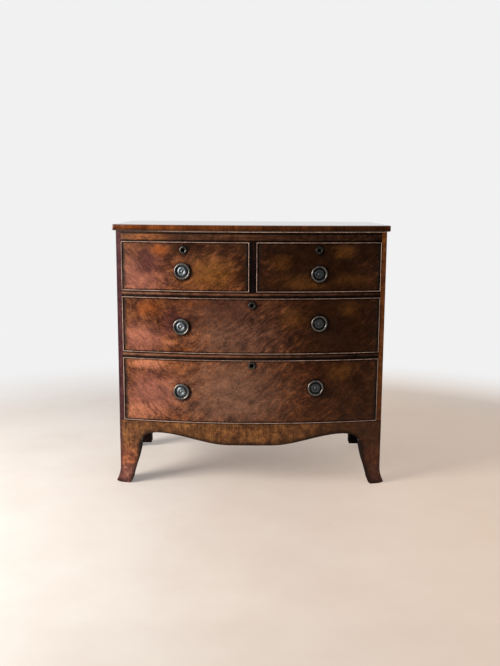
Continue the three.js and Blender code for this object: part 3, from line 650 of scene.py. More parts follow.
def figured(name, area, seed, spine_share, patches, handles, keyhole, plug=None):
    left, right, low, high = area
    material, shader, place = start_finish(name, Specular_IOR_Level=SPECULAR)
    moved = shifted(place, (seed, 0, seed * 0.7))
    swirl = add_node("TexNoise", {"Vector": moved, "Scale": 9.0, "Detail": 2.0})
    sway = vector("MULTIPLY", swirl.outputs["Color"], SWAY)
    spine = left + (right - left) * spine_share
    figure = shifted(plume(vector("ADD", place, sway), spine), (seed, 0, seed))
    drift = noise(moved, (0.16, 1, 0.1), detail=2)
    clouds = noise(vector("ADD", moved, sway), (0.04, 1, 0.03), detail=6, rough=0.7)
    flame = noise(figure, (0.04, 1, 0.016), detail=5, rough=0.65, twist=0.6)
    streaks = noise(figure, (0.02, 1, 0.003), detail=3, rough=0.6, twist=0.3)
    mottle = noise(moved, (0.007, 1, 0.006), detail=4, rough=0.7, twist=1.0)
    tone = layered(
        (drift, 0.1), (clouds, 0.38), (flame, 0.19), (streaks, 0.08), (mottle, 0.25))
    tone = ease(tone, 0.36, 0.64)
    colour = ramp(tone, FLAME)
    shade = blend(tone, *SHADES)
    ragged = noise(figure, (0.03, 1, 0.012), detail=4, rough=0.65)
    for tint, *patch in patches:
        mask = patch_mask(place, ragged, area, *patch)
        colour = blend(mask, colour, blend(1.0, shade, tint, "MULTIPLY"))
    specks = noise(moved, (0.005, 1, 0.0035), detail=3, rough=0.7)
    colour = darken(colour, ease(specks, 0.52, 0.66, 0, 0.42))
    pores = ease(noise(figure, (0.004, 1, 0.0005), detail=1), 0.58, 0.72)
    colour = darken(colour, multiply(pores, 0.4))

    x, _, z = split(place)
    from_end = minimum(subtract(x, left), subtract(right, x))
    from_rail = minimum(subtract(z, low), subtract(high, z))
    from_bead = minimum(from_end, from_rail)
    ragged = multiply(noise(moved, (0.007, 1, 0.016), detail=4), 0.02)
    from_end = add(from_end, ragged)
    strip = ease(from_end, *END_GRIME, 0, 0.85)
    colour = blend(strip, colour, blend(1.0, shade, STRIP, "MULTIPLY"))
    from_bead = multiply_add(ragged, 0.4, from_bead)
    grime_and_shade = ease(from_bead, *BEAD_GRIME, 0, 0.85)
    # Painted shadow: a dark halo set a little to the lower right of each handle, and of the keyhole, over
    # some old polish.
    for x, z in handles:
        away = add(distance_to(place, x + SHADE_SHIFT, z - SHADE_SHIFT), ragged)
        grime_and_shade = maximum(grime_and_shade, ease(away, *HANDLE_SHADE, 0, 0.9))
    away = add(distance_to(place, keyhole[0] + SHADE_SHIFT, keyhole[1]), ragged)
    grime_and_shade = maximum(grime_and_shade, ease(away, *KEY_SHADE, 0, 0.85))
    if plug:
        rim = calc("ABSOLUTE", subtract(distance_to(place, *plug), PLUG_RADIUS))
        grime_and_shade = maximum(grime_and_shade, ease(rim, 0.004, 0.001, 0, 0.65))
    worn = ease(drift, 0.3, 0.7, 0.3, 0.44)
    relief = layered((noise(moved, (0.06, 1, 0.04), detail=1), WAVES), (pores, PORES))
    return finished(material, shader, darken(colour, grime_and_shade), worn, relief, 0.0004, 0.6)


print("streaks rise", RISES, "to the left and right of the spine")

# %% [markdown]
# ## Beads, inner timber and metal
#
# The beads are painted dark in their quirks, as shade, and pale along the nose, which is rubbed
# wear and a painted highlight. Drawer linings are oak and the hidden boards are pine, both dry
# and unpolished. The brass has gone a dark grey brown, and the plates at the right are painted
# darker still, as shade. It shines only where cloths and fingers reach, so each turned piece
# carries an attribute named rub, which is highest where it stands out most.

# %% Beads, inner timber and metal
# Painted shade: the near-black of the bead's quirks and flanks.
BEAD_QUIRK_SHADE = paints((20, 10, 8), (36, 19, 13), (56, 31, 21))
BEAD_NOSE = paints((128, 98, 86), (168, 136, 120), (206, 174, 154))
shaded_bead_wood = mahogany("bead_mahogany", BEAD_QUIRK_SHADE, X_AXIS)
# Rubbed wear with a painted highlight along the nose.
bead_nose = mahogany("worn_and_highlit_bead", BEAD_NOSE, X_AXIS, gloss=0.3)
end_nose = mahogany("worn_and_highlit_end_bead", BEAD_NOSE, Z_AXIS, gloss=0.3)
PALE = paints((160, 130, 116), (200, 170, 152), (230, 202, 182))


def shaded_left_end(place, colour):
    """Paints shade over the left end of a bead."""
    x = split(place)[0]
    return darken(colour, ease(x, -0.2, -0.36, 0, 0.75))


pale_bead = mahogany("pale_bead", PALE, X_AXIS, gloss=0.3, adjust=shaded_left_end)


def bare_timber(name, tones, axis, seed):
    material, shader, place = start_finish(name)
    moved = shifted(place, (seed, seed, seed))
    rings = noise(moved, grain_sizes(axis, 0.9, 0.03), detail=4, rough=0.55, twist=0.8)
    fibres = noise(moved, grain_sizes(axis, 0.05, 0.0012), detail=3)
    tone = ease(layered((rings, 0.65), (fibres, 0.35)), 0.36, 0.64)
    colour = ramp(tone, tones)
    stains = ease(noise(moved, 0.09, detail=4, rough=0.6), 0.52, 0.7, 0, 0.35)
    colour, worn = darken(colour, stains), ease(fibres, 0.3, 0.7, 0.6, 0.8)
    return finished(material, shader, colour, worn, fibres, 0.0003, 0.5)


OAK = paints((96, 68, 40), (134, 98, 60), (164, 126, 82))
PINE = paints((92, 60, 34), (132, 92, 54), (158, 116, 72))
oak_across = bare_timber("oak_across", OAK, X_AXIS, 2.3)
oak_back = bare_timber("oak_front_to_back", OAK, Y_AXIS, 4.1)
pine_across = bare_timber("pine_across", PINE, X_AXIS, 6.7)


def rubbed_metal(name, dark, bright, gloss, spots, right_end_shade=0.0):
    """Metal that is dark in its hollows and bright where the rub attribute is high.

    The last argument is how much painted shade darkens the pieces at the right end of the chest.
    """
    material, shader, place = start_finish(name, Metallic=1.0)
    rub = add_node("Attribute", attribute_name="rub").outputs["Fac"]
    cloud = noise(place, 0.006, detail=4, rough=0.65)
    shine = ease(multiply_add(cloud, 0.5, rub), 0.45, 1.25)
    tarnish = ease(noise(place, 0.002, detail=3), 0.56, 0.68, 0, spots)
    colour = darken(blend(shine, dark, bright), tarnish)
    x = split(place)[0]
    # Painted shade: darker towards the right end.
    colour = darken(colour, ease(x, -0.1, 0.2, 0, right_end_shade))
    worn = ease(shine, 0, 1, gloss + 0.2, gloss)
    return finished(material, shader, colour, worn, cloud, 0.0003, 0.5)


# The plates are painted darker at the right end, as shade.
plate_brass = rubbed_metal("plate_brass", paint(30, 35, 39), paint(130, 138, 143), 0.4, 0.5, 0.5)
ring_brass = rubbed_metal("ring_brass", paint(34, 31, 29), paint(134, 128, 122), 0.34, 0.5)
keyhole_brass = rubbed_metal("keyhole_brass", paint(16, 15, 15), paint(112, 108, 102), 0.32, 0.6)
iron = rubbed_metal("lock_iron", paint(60, 54, 48), paint(110, 104, 96), 0.45, 0.6)
print("finishes:", len(bpy.data.materials))

# %% [markdown]
# ## The top board
#
# The top stands a little proud of the case at the front and ends, with both arrises rounded
# to a nosing. A flat board is sliced into columns, its front is moved to an arc concentric
# with the bow, and then the edges are bevelled, so that the nosing has one radius all along.

# %% The top board
NOSING = 6 * MM
CORNER_ROUND = 3 * MM


def top_board():
    bm = bmesh.new()
    ahead = -1
    add_box(bm, TOP_LOW.x, TOP_HIGH.x, ahead, TOP_HIGH.y, TOP_LOW.z, TOP_HIGH.z)
    slice_along(bm, X_AXIS, COLUMN)
    overhang = BOW_FRONT - TOP_LOW.y
    for vert in bm.verts:
        if vert.co.y < 0:
            vert.co.y = bow(vert.co.x, -overhang)
    upright = arrises(bm, lambda e: abs(e.verts[0].co.z - e.verts[1].co.z) > MM and e.verts[0].co.y < 0)
    round_off(bm, upright, CORNER_ROUND, 4)

    def is_nosed(edge):
        start, end = (vert.co for vert in edge.verts)
        return abs(start.z - end.z) < TINY and min(start.y, end.y) < TOP_HIGH.y - MM

    round_off(bm, arrises(bm, is_nosed), NOSING, 6)
    add_piece("top_board", bm, "case", "top_mahogany", [top_wood], "top")


top_board()
print("top:", [round(value, 3) for value in TOP_HIGH - TOP_LOW])

# %% [markdown]
# ## The sides
#
# Each side is one board with an arch cut under it between the feet. Its outline is drawn from
# the side, filled and pushed inwards, where its front edge lies further out on the bow. Then
# the rabbet that the back is nailed into is cut along its inner back edge.

# %% The sides
EAR_WIDTH = 60 * MM
EAR_HEIGHT = 30 * MM
EAR_STEPS = 14
FOOT_WIDTH = 75 * MM
RABBET = 8 * MM
FOOT_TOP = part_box("left_side")[0].z
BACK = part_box("left_side")[1].y
INNER_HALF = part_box("right_side")[0].x


def ear(start, direction):
    """The quarter curve between a foot and a straight lower edge, as (along, up) from the foot."""
    points = []
    for i in range(EAR_STEPS + 1):
        angle = math.pi / 2 * i / EAR_STEPS
        along = start + direction * EAR_WIDTH * (1 - math.cos(angle))
        points.append((along, FOOT_TOP + EAR_HEIGHT * math.sin(angle)))
    return points


def side_board(side, sign, wood):
    low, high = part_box(f"{side}_side")
    lower = ear(CORNER + FOOT_WIDTH, 1) + ear(BACK - FOOT_WIDTH, -1)[::-1]
    outline = [(CORNER, low.z), *lower, (BACK, low.z), (BACK, high.z), (CORNER, high.z)]
    bm = bmesh.new()
    sheet = bm.faces.new([bm.verts.new((sign * CASE_HALF, y, z)) for y, z in outline])
    for vert in push(bm, [sheet], (sign * (INNER_HALF - CASE_HALF), 0, 0)):
        if vert.co.y < CORNER + MM:
            vert.co.y = bow(INNER_HALF)
    rabbet = bmesh.new()
    across = sorted((sign * (CASE_HALF - RABBET), sign * (INNER_HALF - RABBET)))
    behind = (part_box("back_panel")[0].y, BACK + RABBET)
    add_box(rabbet, *across, *behind, low.z - RABBET, high.z + RABBET)
    bm = carve(bm, rabbet)
    round_off(bm)
    add_piece(f"{side}_side_board", bm, "case", "case_mahogany", [wood], f"{side}_side")


side_board("left", -1, left_wood)
side_board("right", 1, right_wood)
print("sides are", round((CASE_HALF - INNER_HALF) / MM), "mm thick")

# %% [markdown]
# ## Rails and stops
#
# The two rails between the drawers follow the bow in front and are straight behind. Small
# blocks glued on them stop each drawer flush with the case. Dark wax and painted shade darken
# their edges, and painted shade their right half. The frieze rail is a bowed slab, and three
# kickers run back from it to keep an open drawer from tipping. A thin pale bead, painted darker
# at its left end as shade, runs under the top.

# %% Rails and stops
STOP_WIDTH = 34 * MM
STOP_HEIGHT = 5 * MM
STOP_DEPTHS = (22.3 * MM, 44.3 * MM)
SEAM = 0.3 * MM
KICKER_WIDTH = 34 * MM
KICKER_THICKNESS = 19 * MM
FRIEZE_THICKNESS = 22 * MM
TOP_BEAD = 2.6 * MM
TOP_BEAD_PROUD = 2.2 * MM
TOP_BEAD_NOSE = 0.45 * TOP_BEAD_PROUD
HAIR = 0.02 * MM
DRAWERS = ("upper_left", "upper_right", "middle", "bottom")
RAIL_TONES = paints((54, 29, 20), (106, 66, 45), (150, 100, 74))
WAX_AND_SHADE_ABOVE = (4 * MM, 1 * MM)
WAX_AND_SHADE_BELOW = (12 * MM, 8 * MM)


def stop_places(top):
    """Middles of the stops on a rail: a quarter of the way in from each end of a drawer."""
    found = []
    for name in DRAWERS:
        low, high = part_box(f"{name}_drawer_front")
        if abs(low.z - top) < MM:
            found += [low.x + (high.x - low.x) * share for share in (1 / 4, 3 / 4)]
    return found


def waxed_and_shaded(low, high):
    """Leaves dark wax and painted shade along the lower and upper edges of a rail, and painted shade on its
    right half.
    """

    def adjust(place, colour):
        x, _, height = split(place)
        # Painted shade: darker over the right half.
        colour = darken(colour, ease(x, -0.15, 0.25, 0, 0.6))
        ragged = multiply(noise(place, (0.03, 0.03, 0.004), detail=4), 0.004)
        height = add(height, ragged)
        # Dark wax and painted shade along the upper and lower edges.
        upper = ease(height, high - WAX_AND_SHADE_ABOVE[0], high - WAX_AND_SHADE_ABOVE[1], 0, 0.9)
        lower = ease(height, low + WAX_AND_SHADE_BELOW[0], low + WAX_AND_SHADE_BELOW[1], 0, 0.9)
        return darken(colour, maximum(upper, lower))

    return adjust


def rail(name):
    low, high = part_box(name)
    top = high.z - STOP_HEIGHT
    bm = bmesh.new()
    add_box(bm, -INNER_HALF + SEAM, INNER_HALF - SEAM, 0, high.y - CORNER, low.z, top)
    slice_along(bm, X_AXIS, COLUMN)
    bend(bm, deepest=MM)
    round_off(bm, arrises(bm, lambda e: max(v.co.y for v in e.verts) < CORNER))
    stops = bmesh.new()
    for x in stop_places(high.z - STOP_HEIGHT + SEAM):
        add_box(stops, x - STOP_WIDTH / 2, x + STOP_WIDTH / 2, *STOP_DEPTHS, top, high.z)
    bend(stops)
    round_off(stops)
    bm.from_mesh(new_mesh("stops", stops))
    wood = mahogany(
        f"{name}_mahogany", RAIL_TONES, X_AXIS, seed=top, spread=0.16, adjust=waxed_and_shaded(low.z, top))
    add_piece(f"{name}_board", bm, "case", "case_mahogany", [wood], name)


def frieze():
    low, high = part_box("frieze_rail")
    divider_low, divider_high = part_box("centre_divider")
    middle = (divider_low.x + divider_high.x) / 2
    half = INNER_HALF - SEAM
    bm = bmesh.new()
    add_box(bm, -half, half, 0, FRIEZE_THICKNESS, low.z, high.z)
    slice_along(bm, X_AXIS, COLUMN)
    back = high.y - CORNER
    for left in (-half, middle - KICKER_WIDTH / 2, half - KICKER_WIDTH):
        right = left + KICKER_WIDTH
        add_box(bm, left, right, FRIEZE_THICKNESS, back, low.z, low.z + KICKER_THICKNESS)
    bend(bm, deepest=FRIEZE_THICKNESS + MM)
    round_off(bm)
    add_piece("frieze", bm, "case", "case_mahogany", [frieze_wood], "frieze_rail")


def bead_under_top():
    """A thin rounded strip along the front, just under the top."""
    half = CASE_HALF - SEAM
    high = TOP_LOW.z - SEAM
    bm = bmesh.new()
    add_box(bm, -half, half, -TOP_BEAD_PROUD, -HAIR, high - TOP_BEAD, high)
    slice_along(bm, X_AXIS, COLUMN)
    bend(bm)
    in_front = arrises(bm, lambda e: abs(e.verts[0].co.z - e.verts[1].co.z) < TINY)
    round_off(bm, in_front, TOP_BEAD_NOSE, 3)
    add_piece("bead_under_top", bm, "case", "bead_mahogany", [pale_bead])


rail("upper_rail")
rail("lower_rail")
frieze()
bead_under_top()
print("kickers are", round(KICKER_WIDTH / MM), "mm wide")

# %% [markdown]
# ## The apron
#
# The apron's lower edge runs flat in the middle, up an ogee on each side, and down a quarter
# curve to the feet. A grid of two rows takes its columns from that outline, so the curve is
# made by moving the lower row. A thin veneer on its face runs on over the ends of the sides,
# which is why no upright joint shows below the bottom drawer.

# %% The apron
OGEE_STEPS = 26
FLAT_HALF = 70 * MM
FLAT_STEPS = 6
END_STEPS = 6
APRON_THICKNESS = 20 * MM
VENEER = 0.8 * MM
VENEER_PROUD = 0.4 * MM


def apron_outline(end):
    """Lower edge of the apron's right half as (x, z), from the middle out to end."""
    foot_inner = CASE_HALF - FOOT_WIDTH
    ogee_end = foot_inner - EAR_WIDTH
    ear_top = FOOT_TOP + EAR_HEIGHT
    drop = ear_top - APRON_LOW.z
    points = [(FLAT_HALF * i / FLAT_STEPS, APRON_LOW.z) for i in range(FLAT_STEPS)]
    for i in range(OGEE_STEPS):
        along = i / OGEE_STEPS
        smooth = along**2 * (3 - 2 * along)
        points.append((FLAT_HALF + (ogee_end - FLAT_HALF) * along, ear_top - drop * (1 - smooth)))
    points += ear(foot_inner, -1)[::-1]
    for i in range(1, END_STEPS + 1):
        points.append((foot_inner + (end - foot_inner) * i / END_STEPS, FOOT_TOP))
    return points


def apron_sheet(bm, end, front, back):
    half = apron_outline(end)
    outline = [(-x, z) for x, z in half[:0:-1]] + half
    count = len(outline) - 1
    from_edge = bm.verts.layers.float.get("from_edge") or bm.verts.layers.float.new("from_edge")
    sheet = bmesh.ops.create_grid(bm, x_segments=count, y_segments=1, size=0.5)["verts"]
    for vert in sheet:
        x, lower = outline[round((vert.co.x + 0.5) * count)]
        z = lower if vert.co.y < 0 else APRON_HIGH.z
        vert[from_edge] = z - lower + max(abs(x) - (CASE_HALF - FOOT_WIDTH), 0)
        vert.co = (x, front, z)
    push(bm, list({f for vert in sheet for f in vert.link_faces}), (0, back - front, 0))


def hide_in_dark(bm, is_shown):
    """Gives the second finish, a near-black that stands for painted shade, to the faces that is_shown leaves
    out.
    """
    face_outwards(bm)
    for face in bm.faces:
        face.material_index = 0 if is_shown(face.normal) else 1


def apron():
    bm = bmesh.new()
    apron_sheet(bm, CASE_HALF, -VENEER_PROUD, VENEER - VENEER_PROUD)
    apron_sheet(bm, INNER_HALF - SEAM, VENEER - VENEER_PROUD + HAIR, APRON_THICKNESS)
    # Painted shade: faces that face neither the front nor the ends take the near-black finish.
    hide_in_dark(bm, lambda normal: normal.y < -0.5 or abs(normal.x) > 0.9)
    bend(bm)
    add_piece("shaped_apron", bm, "case", "apron_mahogany", [apron_wood, shade_wood], "apron")


apron()
print("apron is", round((APRON_HIGH.z - APRON_LOW.z) / MM), "mm deep in the middle")

# %% [markdown]
# ## The feet
#
# A foot is a tapered post that splays outwards at the toe. A box is sliced up its height, and
# each slice is then set to the foot's width there. The taper is a short list of widths with a
# smooth curve through them. The rear feet are square behind, and stand on a narrower pad.

# %% The feet
FLARE_HEIGHT = 59 * MM
FLARE_REACH = 14 * MM
FLARE_FORWARD = 3 * MM
TOE_ROUND = 6 * MM
TOE_CUT = 18 * MM
SOLE_ROUND = 9 * MM
SOLE_RISE = 12 * MM
REAR_WIDTH = 55 * MM
PAD_WIDTH = 16 * MM
PAD_HEIGHT = 15 * MM
SLICE = 4 * MM
FOOT_ARRIS = 1.2 * MM
TAPER = ((0, 0.53), (0.13, 0.57), (0.33, 0.68), (0.5, 0.79), (0.7, 0.88), (0.86, 0.92), (1, 1))


def foot_width(z):
    """Width of a foot at a height, on a smooth curve through the list of shares."""
    height = min(max(z / FOOT_TOP, 0), 1)
    above = next(i for i, (share, _) in enumerate(TAPER) if share >= height)
    start = max(above - 1, 0)
    knots = [TAPER[min(max(i, 0), len(TAPER) - 1)] for i in range(start - 1, start + 3)]
    (h0, w0), (h1, w1), (h2, w2), (h3, w3) = knots
    t = (height - h1) / (h2 - h1)
    slope1 = (w2 - w0) / (h2 - h0) * (h2 - h1)
    slope2 = (w3 - w1) / (h3 - h1) * (h2 - h1)
    curve = (2 * t**3 - 3 * t**2 + 1) * w1 + (t**3 - 2 * t**2 + t) * slope1
    return FOOT_WIDTH * (curve + (3 * t**2 - 2 * t**3) * w2 + (t**3 - t**2) * slope2)


def flare(z):
    """How far the toe has splayed at a height, as a share of its full reach."""
    return (max(FLARE_HEIGHT - max(z, TOE_ROUND), 0) / (FLARE_HEIGHT - TOE_ROUND)) ** 2


def foot_outside(z):
    worn = TOE_CUT * max(1 - z / TOE_ROUND, 0) ** 1.8
    return CASE_HALF + FLARE_REACH * flare(z) - worn


def front_section(z, across, back):
    """A point of a front foot: across is 0 inside and 1 outside, back is 0 in front and 1 behind."""
    inner = CASE_HALF - foot_width(z) + SOLE_ROUND * max(1 - z / SOLE_RISE, 0) ** 2
    x = inner + (foot_outside(z) - inner) * across
    front = bow(x) - FLARE_FORWARD * flare(z)
    return x, front + (CORNER + foot_width(z) - front) * back


def rear_section(z, across, back):
    inner = CASE_HALF - (REAR_WIDTH if z > PAD_HEIGHT else PAD_WIDTH)
    x = inner + (foot_outside(z) - inner) * across
    front = BACK - foot_width(z)
    return x, front + (BACK - front) * back


def foot(place, side, sign, section, heights):
    bm = bmesh.new()
    add_box(bm, 0, 1, 0, 1, 0, FOOT_TOP - SEAM)
    for z in heights:
        slice_at(bm, Z_AXIS, z)
    slice_along(bm, X_AXIS, 1 / 4)
    for vert in bm.verts:
        x, y = section(vert.co.z, vert.co.x, vert.co.y)
        vert.co.x, vert.co.y = sign * x, y
    face_outwards(bm)
    round_off(bm, None, FOOT_ARRIS, 3)
    from_edge = bm.verts.layers.float.new("from_edge")
    for vert in bm.verts:
        vert[from_edge] = abs(vert.co.x) - CASE_HALF + foot_width(vert.co.z)
    # Painted shade: faces that face neither the front nor the outer side, and on the rear feet all but the
    # outer side, take the near-black finish.
    in_front = -0.5 if place == "front" else -2
    hide_in_dark(
        bm, lambda normal: normal.y < in_front and sign * normal.x > -0.2 or sign * normal.x > 0.3)
    if place == "front":
        slot, width, front, back = "apron_mahogany", FOOT_WIDTH, CORNER, CORNER + FOOT_WIDTH
    else:
        slot, width, front = "case_mahogany", REAR_WIDTH, BACK - FOOT_WIDTH
        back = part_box("back_panel")[0].y
    ends = sorted((sign * (CASE_HALF - width), sign * (INNER_HALF - SEAM)))
    block = bmesh.new()
    add_box(block, *ends, front, back, FOOT_TOP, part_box(f"{place}_{side}_foot")[1].z)
    round_off(block)
    # Painted shade: the corner block takes the near-black finish.
    for face in block.faces:
        face.material_index = 1
    bm.from_mesh(new_mesh("corner_block", block))
    woods = [apron_wood, shade_wood]
    add_piece(f"{place}_{side}_splayed_foot", bm, "case", slot, woods, f"{place}_{side}_foot")


levels = [i * SLICE for i in range(1, int(FOOT_TOP / SLICE))]
toe_levels = [TOE_ROUND * share for share in (0.12, 0.3, 0.5, 1.0, 1.5)]
pad_levels = [PAD_HEIGHT, PAD_HEIGHT + SEAM]
for side, sign in (("left", -1), ("right", 1)):
    foot("front", side, sign, front_section, levels + toe_levels)
    foot("rear", side, sign, rear_section, levels + toe_levels + pad_levels)
print("a foot is", round(foot_width(0) / MM), "mm wide at the floor")

# %% [markdown]
# ## The back
#
# The back isn't seen in a room, so it is rough pine: four boards of uneven width laid across
# and nailed into the rabbets. Each board is a softened box, and each nail a low tapered head.

# %% The back
BOARD_SHARES = (0, 0.27, 0.49, 0.76, 1)
BOARD_GAP = 0.8 * MM
NAIL_RADIUS = 2.2 * MM
NAIL_PITCH = 75 * MM
NAIL_INSET = 6 * MM
NAIL_WANDER = 1.5 * MM
NAIL_HEIGHT = 0.8 * MM
NAIL_PROUD = 0.5 * MM
NAIL_SIDES = 12
NAIL_TOP = 0.6 * NAIL_RADIUS
nail_iron = rubbed_metal("nail_iron", paint(34, 28, 24), paint(70, 62, 54), 0.5, 0.6)


def back_boards():
    low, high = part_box("back_panel")
    bm = bmesh.new()
    for start, end in zip(BOARD_SHARES, BOARD_SHARES[1:]):
        z0 = low.z + (high.z - low.z) * start + BOARD_GAP / 2
        z1 = low.z + (high.z - low.z) * end - BOARD_GAP / 2
        add_box(bm, low.x, high.x, low.y, high.y - NAIL_PROUD, z0, z1)
    round_off(bm)
    boards = set(bm.faces)
    count = int((high.z - low.z) / NAIL_PITCH)
    for x in (low.x + NAIL_INSET, high.x - NAIL_INSET):
        for i in range(count):
            z = low.z + (high.z - low.z) * (i + 0.5) / count
            across = x + NAIL_WANDER * math.sin(7 * i + x)
            root = (across, high.y - NAIL_HEIGHT, z)
            add_rod(bm, NAIL_RADIUS, root, (across, high.y, z), NAIL_SIDES, NAIL_TOP)
    for face in bm.faces:
        face.material_index = 0 if face in boards else 1
    add_piece("back_boards", bm, "case", "carcass_pine", [pine_across, nail_iron], "back_panel")


back_boards()
print("back boards:", len(BOARD_SHARES) - 1)

# %% [markdown]
# ## Plain inner boards
#
# Dustboards, drawer linings and locks are already the right shape. A copy of each solid is
# merged, its flat faces are joined, and its arrises are eased a little, so that light catches
# them as it does on planed wood.

# %% Plain inner boards
EASED = 0.4 * MM
FLAT_ANGLE = math.radians(0.3)
LINING_RUB = 0.5


def eased_copy(node, body, slot, material):
    bm = bmesh.new()
    bm.from_mesh(frame["nodes"][node].data)
    bmesh.ops.remove_doubles(bm, verts=bm.verts, dist=TINY)
    bmesh.ops.dissolve_limit(bm, angle_limit=FLAT_ANGLE, verts=bm.verts, edges=bm.edges)
    round_off(bm, None, EASED, 1)
    rub = bm.verts.layers.float.new("rub")
    for vert in bm.verts:
        vert[rub] = LINING_RUB
    add_piece(f"{node}_eased", bm, body, slot, [material], node)


for node in ("upper_dustboard", "lower_dustboard", "bottom_board"):
    eased_copy(node, "case", "carcass_pine", pine_across)
# Painted shade: the divider takes the near-black finish.
eased_copy("centre_divider", "case", "case_mahogany", shade_wood)
LININGS = {"left_side": oak_back, "right_side": oak_back, "back": oak_across, "bottom": oak_across}
for name in DRAWERS:
    for part, wood in LININGS.items():
        eased_copy(f"{name}_drawer_{part}", f"{name}_drawer", "drawer_oak", wood)
    eased_copy(f"{name}_lock", f"{name}_drawer", "lock_iron", iron)
print("linings in a drawer:", len(LININGS))

# %% [markdown]
# ## Drawer fronts
#
# A front is drawn flat: a board whose face is stepped back all round for the bead. Its back
# is cut for the lock, for the groove that holds the bottom and for the dovetails of the sides,
# while it is still flat and the cuts are simple. Then it is sliced and bent to the bow.

# %% Drawer fronts
FRONT_THICKNESS = 22 * MM
BEAD_WIDTH = 3.2 * MM
BEAD_DEPTH = 9 * MM
BEAD_PROUD = 2.6 * MM
LINING = 10 * MM
GROOVE_DEPTH = 4 * MM
TAIL_LENGTH = 10 * MM
TAIL_PITCH = 34 * MM
TAIL_ROOT_SHARE = 0.38
TAIL_TIP_SHARE = 0.66
LINING_DROP = 7 * MM
KEY_HOLE = 7.7 * MM
KEY_HOLE_SIDES = 32
LOCK_HALF = 30.3 * MM
LOCK_DEPTH = 8.3 * MM
LOCK_UP = 14.1 * MM
LOCK_DOWN = 27.3 * MM
OVERRUN = 20 * MM
WELD = 0.01 * MM


def tail_sockets(cutters, x0, x1, low, high):
    """Wedges that cut the sockets of lapped dovetails out of the back of a front."""
    count = max(1, int((high - low) / TAIL_PITCH))
    pitch = (high - low) / count
    for i in range(count):
        middle = low + pitch * (i + 0.5)
        root = pitch * TAIL_ROOT_SHARE / 2 + SEAM
        tip = pitch * TAIL_TIP_SHARE / 2 + SEAM
        deep = FRONT_THICKNESS - TAIL_LENGTH - SEAM
        wedge = add_box(cutters, x0, x1, deep, FRONT_THICKNESS, middle - tip, middle + tip)
        for vert in wedge:
            if vert.co.y > FRONT_THICKNESS - MM:
                vert.co.z = middle + math.copysign(root, vert.co.z - middle)
        behind = (FRONT_THICKNESS, FRONT_THICKNESS + OVERRUN)
        wedge += add_box(cutters, x0, x1, *behind, middle - root, middle + root)
        bmesh.ops.remove_doubles(cutters, verts=wedge, dist=TINY)
    joined = [f for f in cutters.faces if all(abs(v.co.y - FRONT_THICKNESS) < TINY for v in f.verts)]
    bmesh.ops.delete(cutters, geom=joined, context="FACES_ONLY")


def drawer_front(name, area, keyhole, material):
    left, right, low, high = area
    bm = bmesh.new()
    add_box(bm, left, right, BEAD_DEPTH + SEAM, FRONT_THICKNESS, low, high)
    face = min(bm.faces, key=lambda face: face.calc_center_median().y)
    bmesh.ops.inset_region(bm, faces=[face], thickness=BEAD_WIDTH + SEAM)
    push(bm, [face], (0, -BEAD_DEPTH - SEAM, 0))
    bmesh.ops.delete(bm, geom=[face], context="FACES_ONLY")

    x, z = keyhole
    cutters = bmesh.new()
    lock_front = FRONT_THICKNESS - LOCK_DEPTH
    behind = FRONT_THICKNESS + OVERRUN
    add_box(cutters, x - LOCK_HALF, x + LOCK_HALF, lock_front, behind, z - LOCK_DOWN, z + LOCK_UP)
    panel_low, panel_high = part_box(f"{name}_drawer_bottom")
    groove_ends = (panel_low.x - SEAM, panel_high.x + SEAM)
    groove = (panel_low.z - SEAM, panel_high.z + SEAM)
    add_box(cutters, *groove_ends, FRONT_THICKNESS - GROOVE_DEPTH, behind, *groove)
    bm = carve(bm, cutters)
    cutters = bmesh.new()
    lining_top = high - LINING_DROP
    tail_sockets(cutters, left - OVERRUN, left + LINING + SEAM, low, lining_top)
    tail_sockets(cutters, right - LINING - SEAM, right + OVERRUN, low, lining_top)
    add_rod(cutters, KEY_HOLE, (x, -OVERRUN, z), (x, lock_front + MM, z), KEY_HOLE_SIDES)
    bm = carve(bm, cutters)
    slice_along(bm, X_AXIS, COLUMN)
    bend(bm)
    bmesh.ops.remove_doubles(bm, verts=bm.verts, dist=WELD)
    bmesh.ops.dissolve_degenerate(bm, edges=bm.edges, dist=WELD)
    body = f"{name}_drawer"
    add_piece(f"{name}_veneered_front", bm, body, "figured_mahogany", [material], f"{body}_front")


print("a front is", round(FRONT_THICKNESS / MM), "mm thick")

# %% [markdown]
# ## Cockbeads
#
# A cockbead is a thin strip let into the edge of a drawer front, with a rounded nose that
# stands proud all round. A rectangle is inset to leave a mitred frame, the frame is pushed
# forward, and its front edges are bevelled to a half round before it is bent.

# %% Cockbeads
NOSE_ROUND = 0.42 * BEAD_WIDTH
WORN_AND_LIT_FROM = 0.72 * BEAD_PROUD


def cockbead(name, area):
    bm = bmesh.new()
    left, right, low, high = area
    corners = ((left, low), (right, low), (right, high), (left, high))
    sheet = bm.faces.new([bm.verts.new((x, BEAD_DEPTH, z)) for x, z in corners])
    bm.normal_update()
    bmesh.ops.inset_region(bm, faces=[sheet], thickness=BEAD_WIDTH, use_boundary=True)
    bmesh.ops.delete(bm, geom=[sheet], context="FACES")
    push(bm, bm.faces[:], (0, -BEAD_DEPTH - BEAD_PROUD, 0))
    face_outwards(bm)
    in_front = arrises(bm, lambda e: max(v.co.y for v in e.verts) < 0)
    round_off(bm, in_front, NOSE_ROUND, 4)
    for face in bm.faces:
        middle = face.calc_center_median()
        upright = min(middle.x - left, right - middle.x) < BEAD_WIDTH
        # The nose takes the pale finish, rubbed wear with a painted highlight; the rest takes the near-black
        # one, painted shade.
        worn_and_lit = middle.y < -WORN_AND_LIT_FROM
        face.material_index = (2 if upright else 1) if worn_and_lit else 0
    slice_along(bm, X_AXIS, COLUMN)
    bend(bm)
    woods = [shaded_bead_wood, bead_nose, end_nose]
    add_piece(f"{name}_bead", bm, f"{name}_drawer", "bead_mahogany", woods, f"{name}_cockbead")


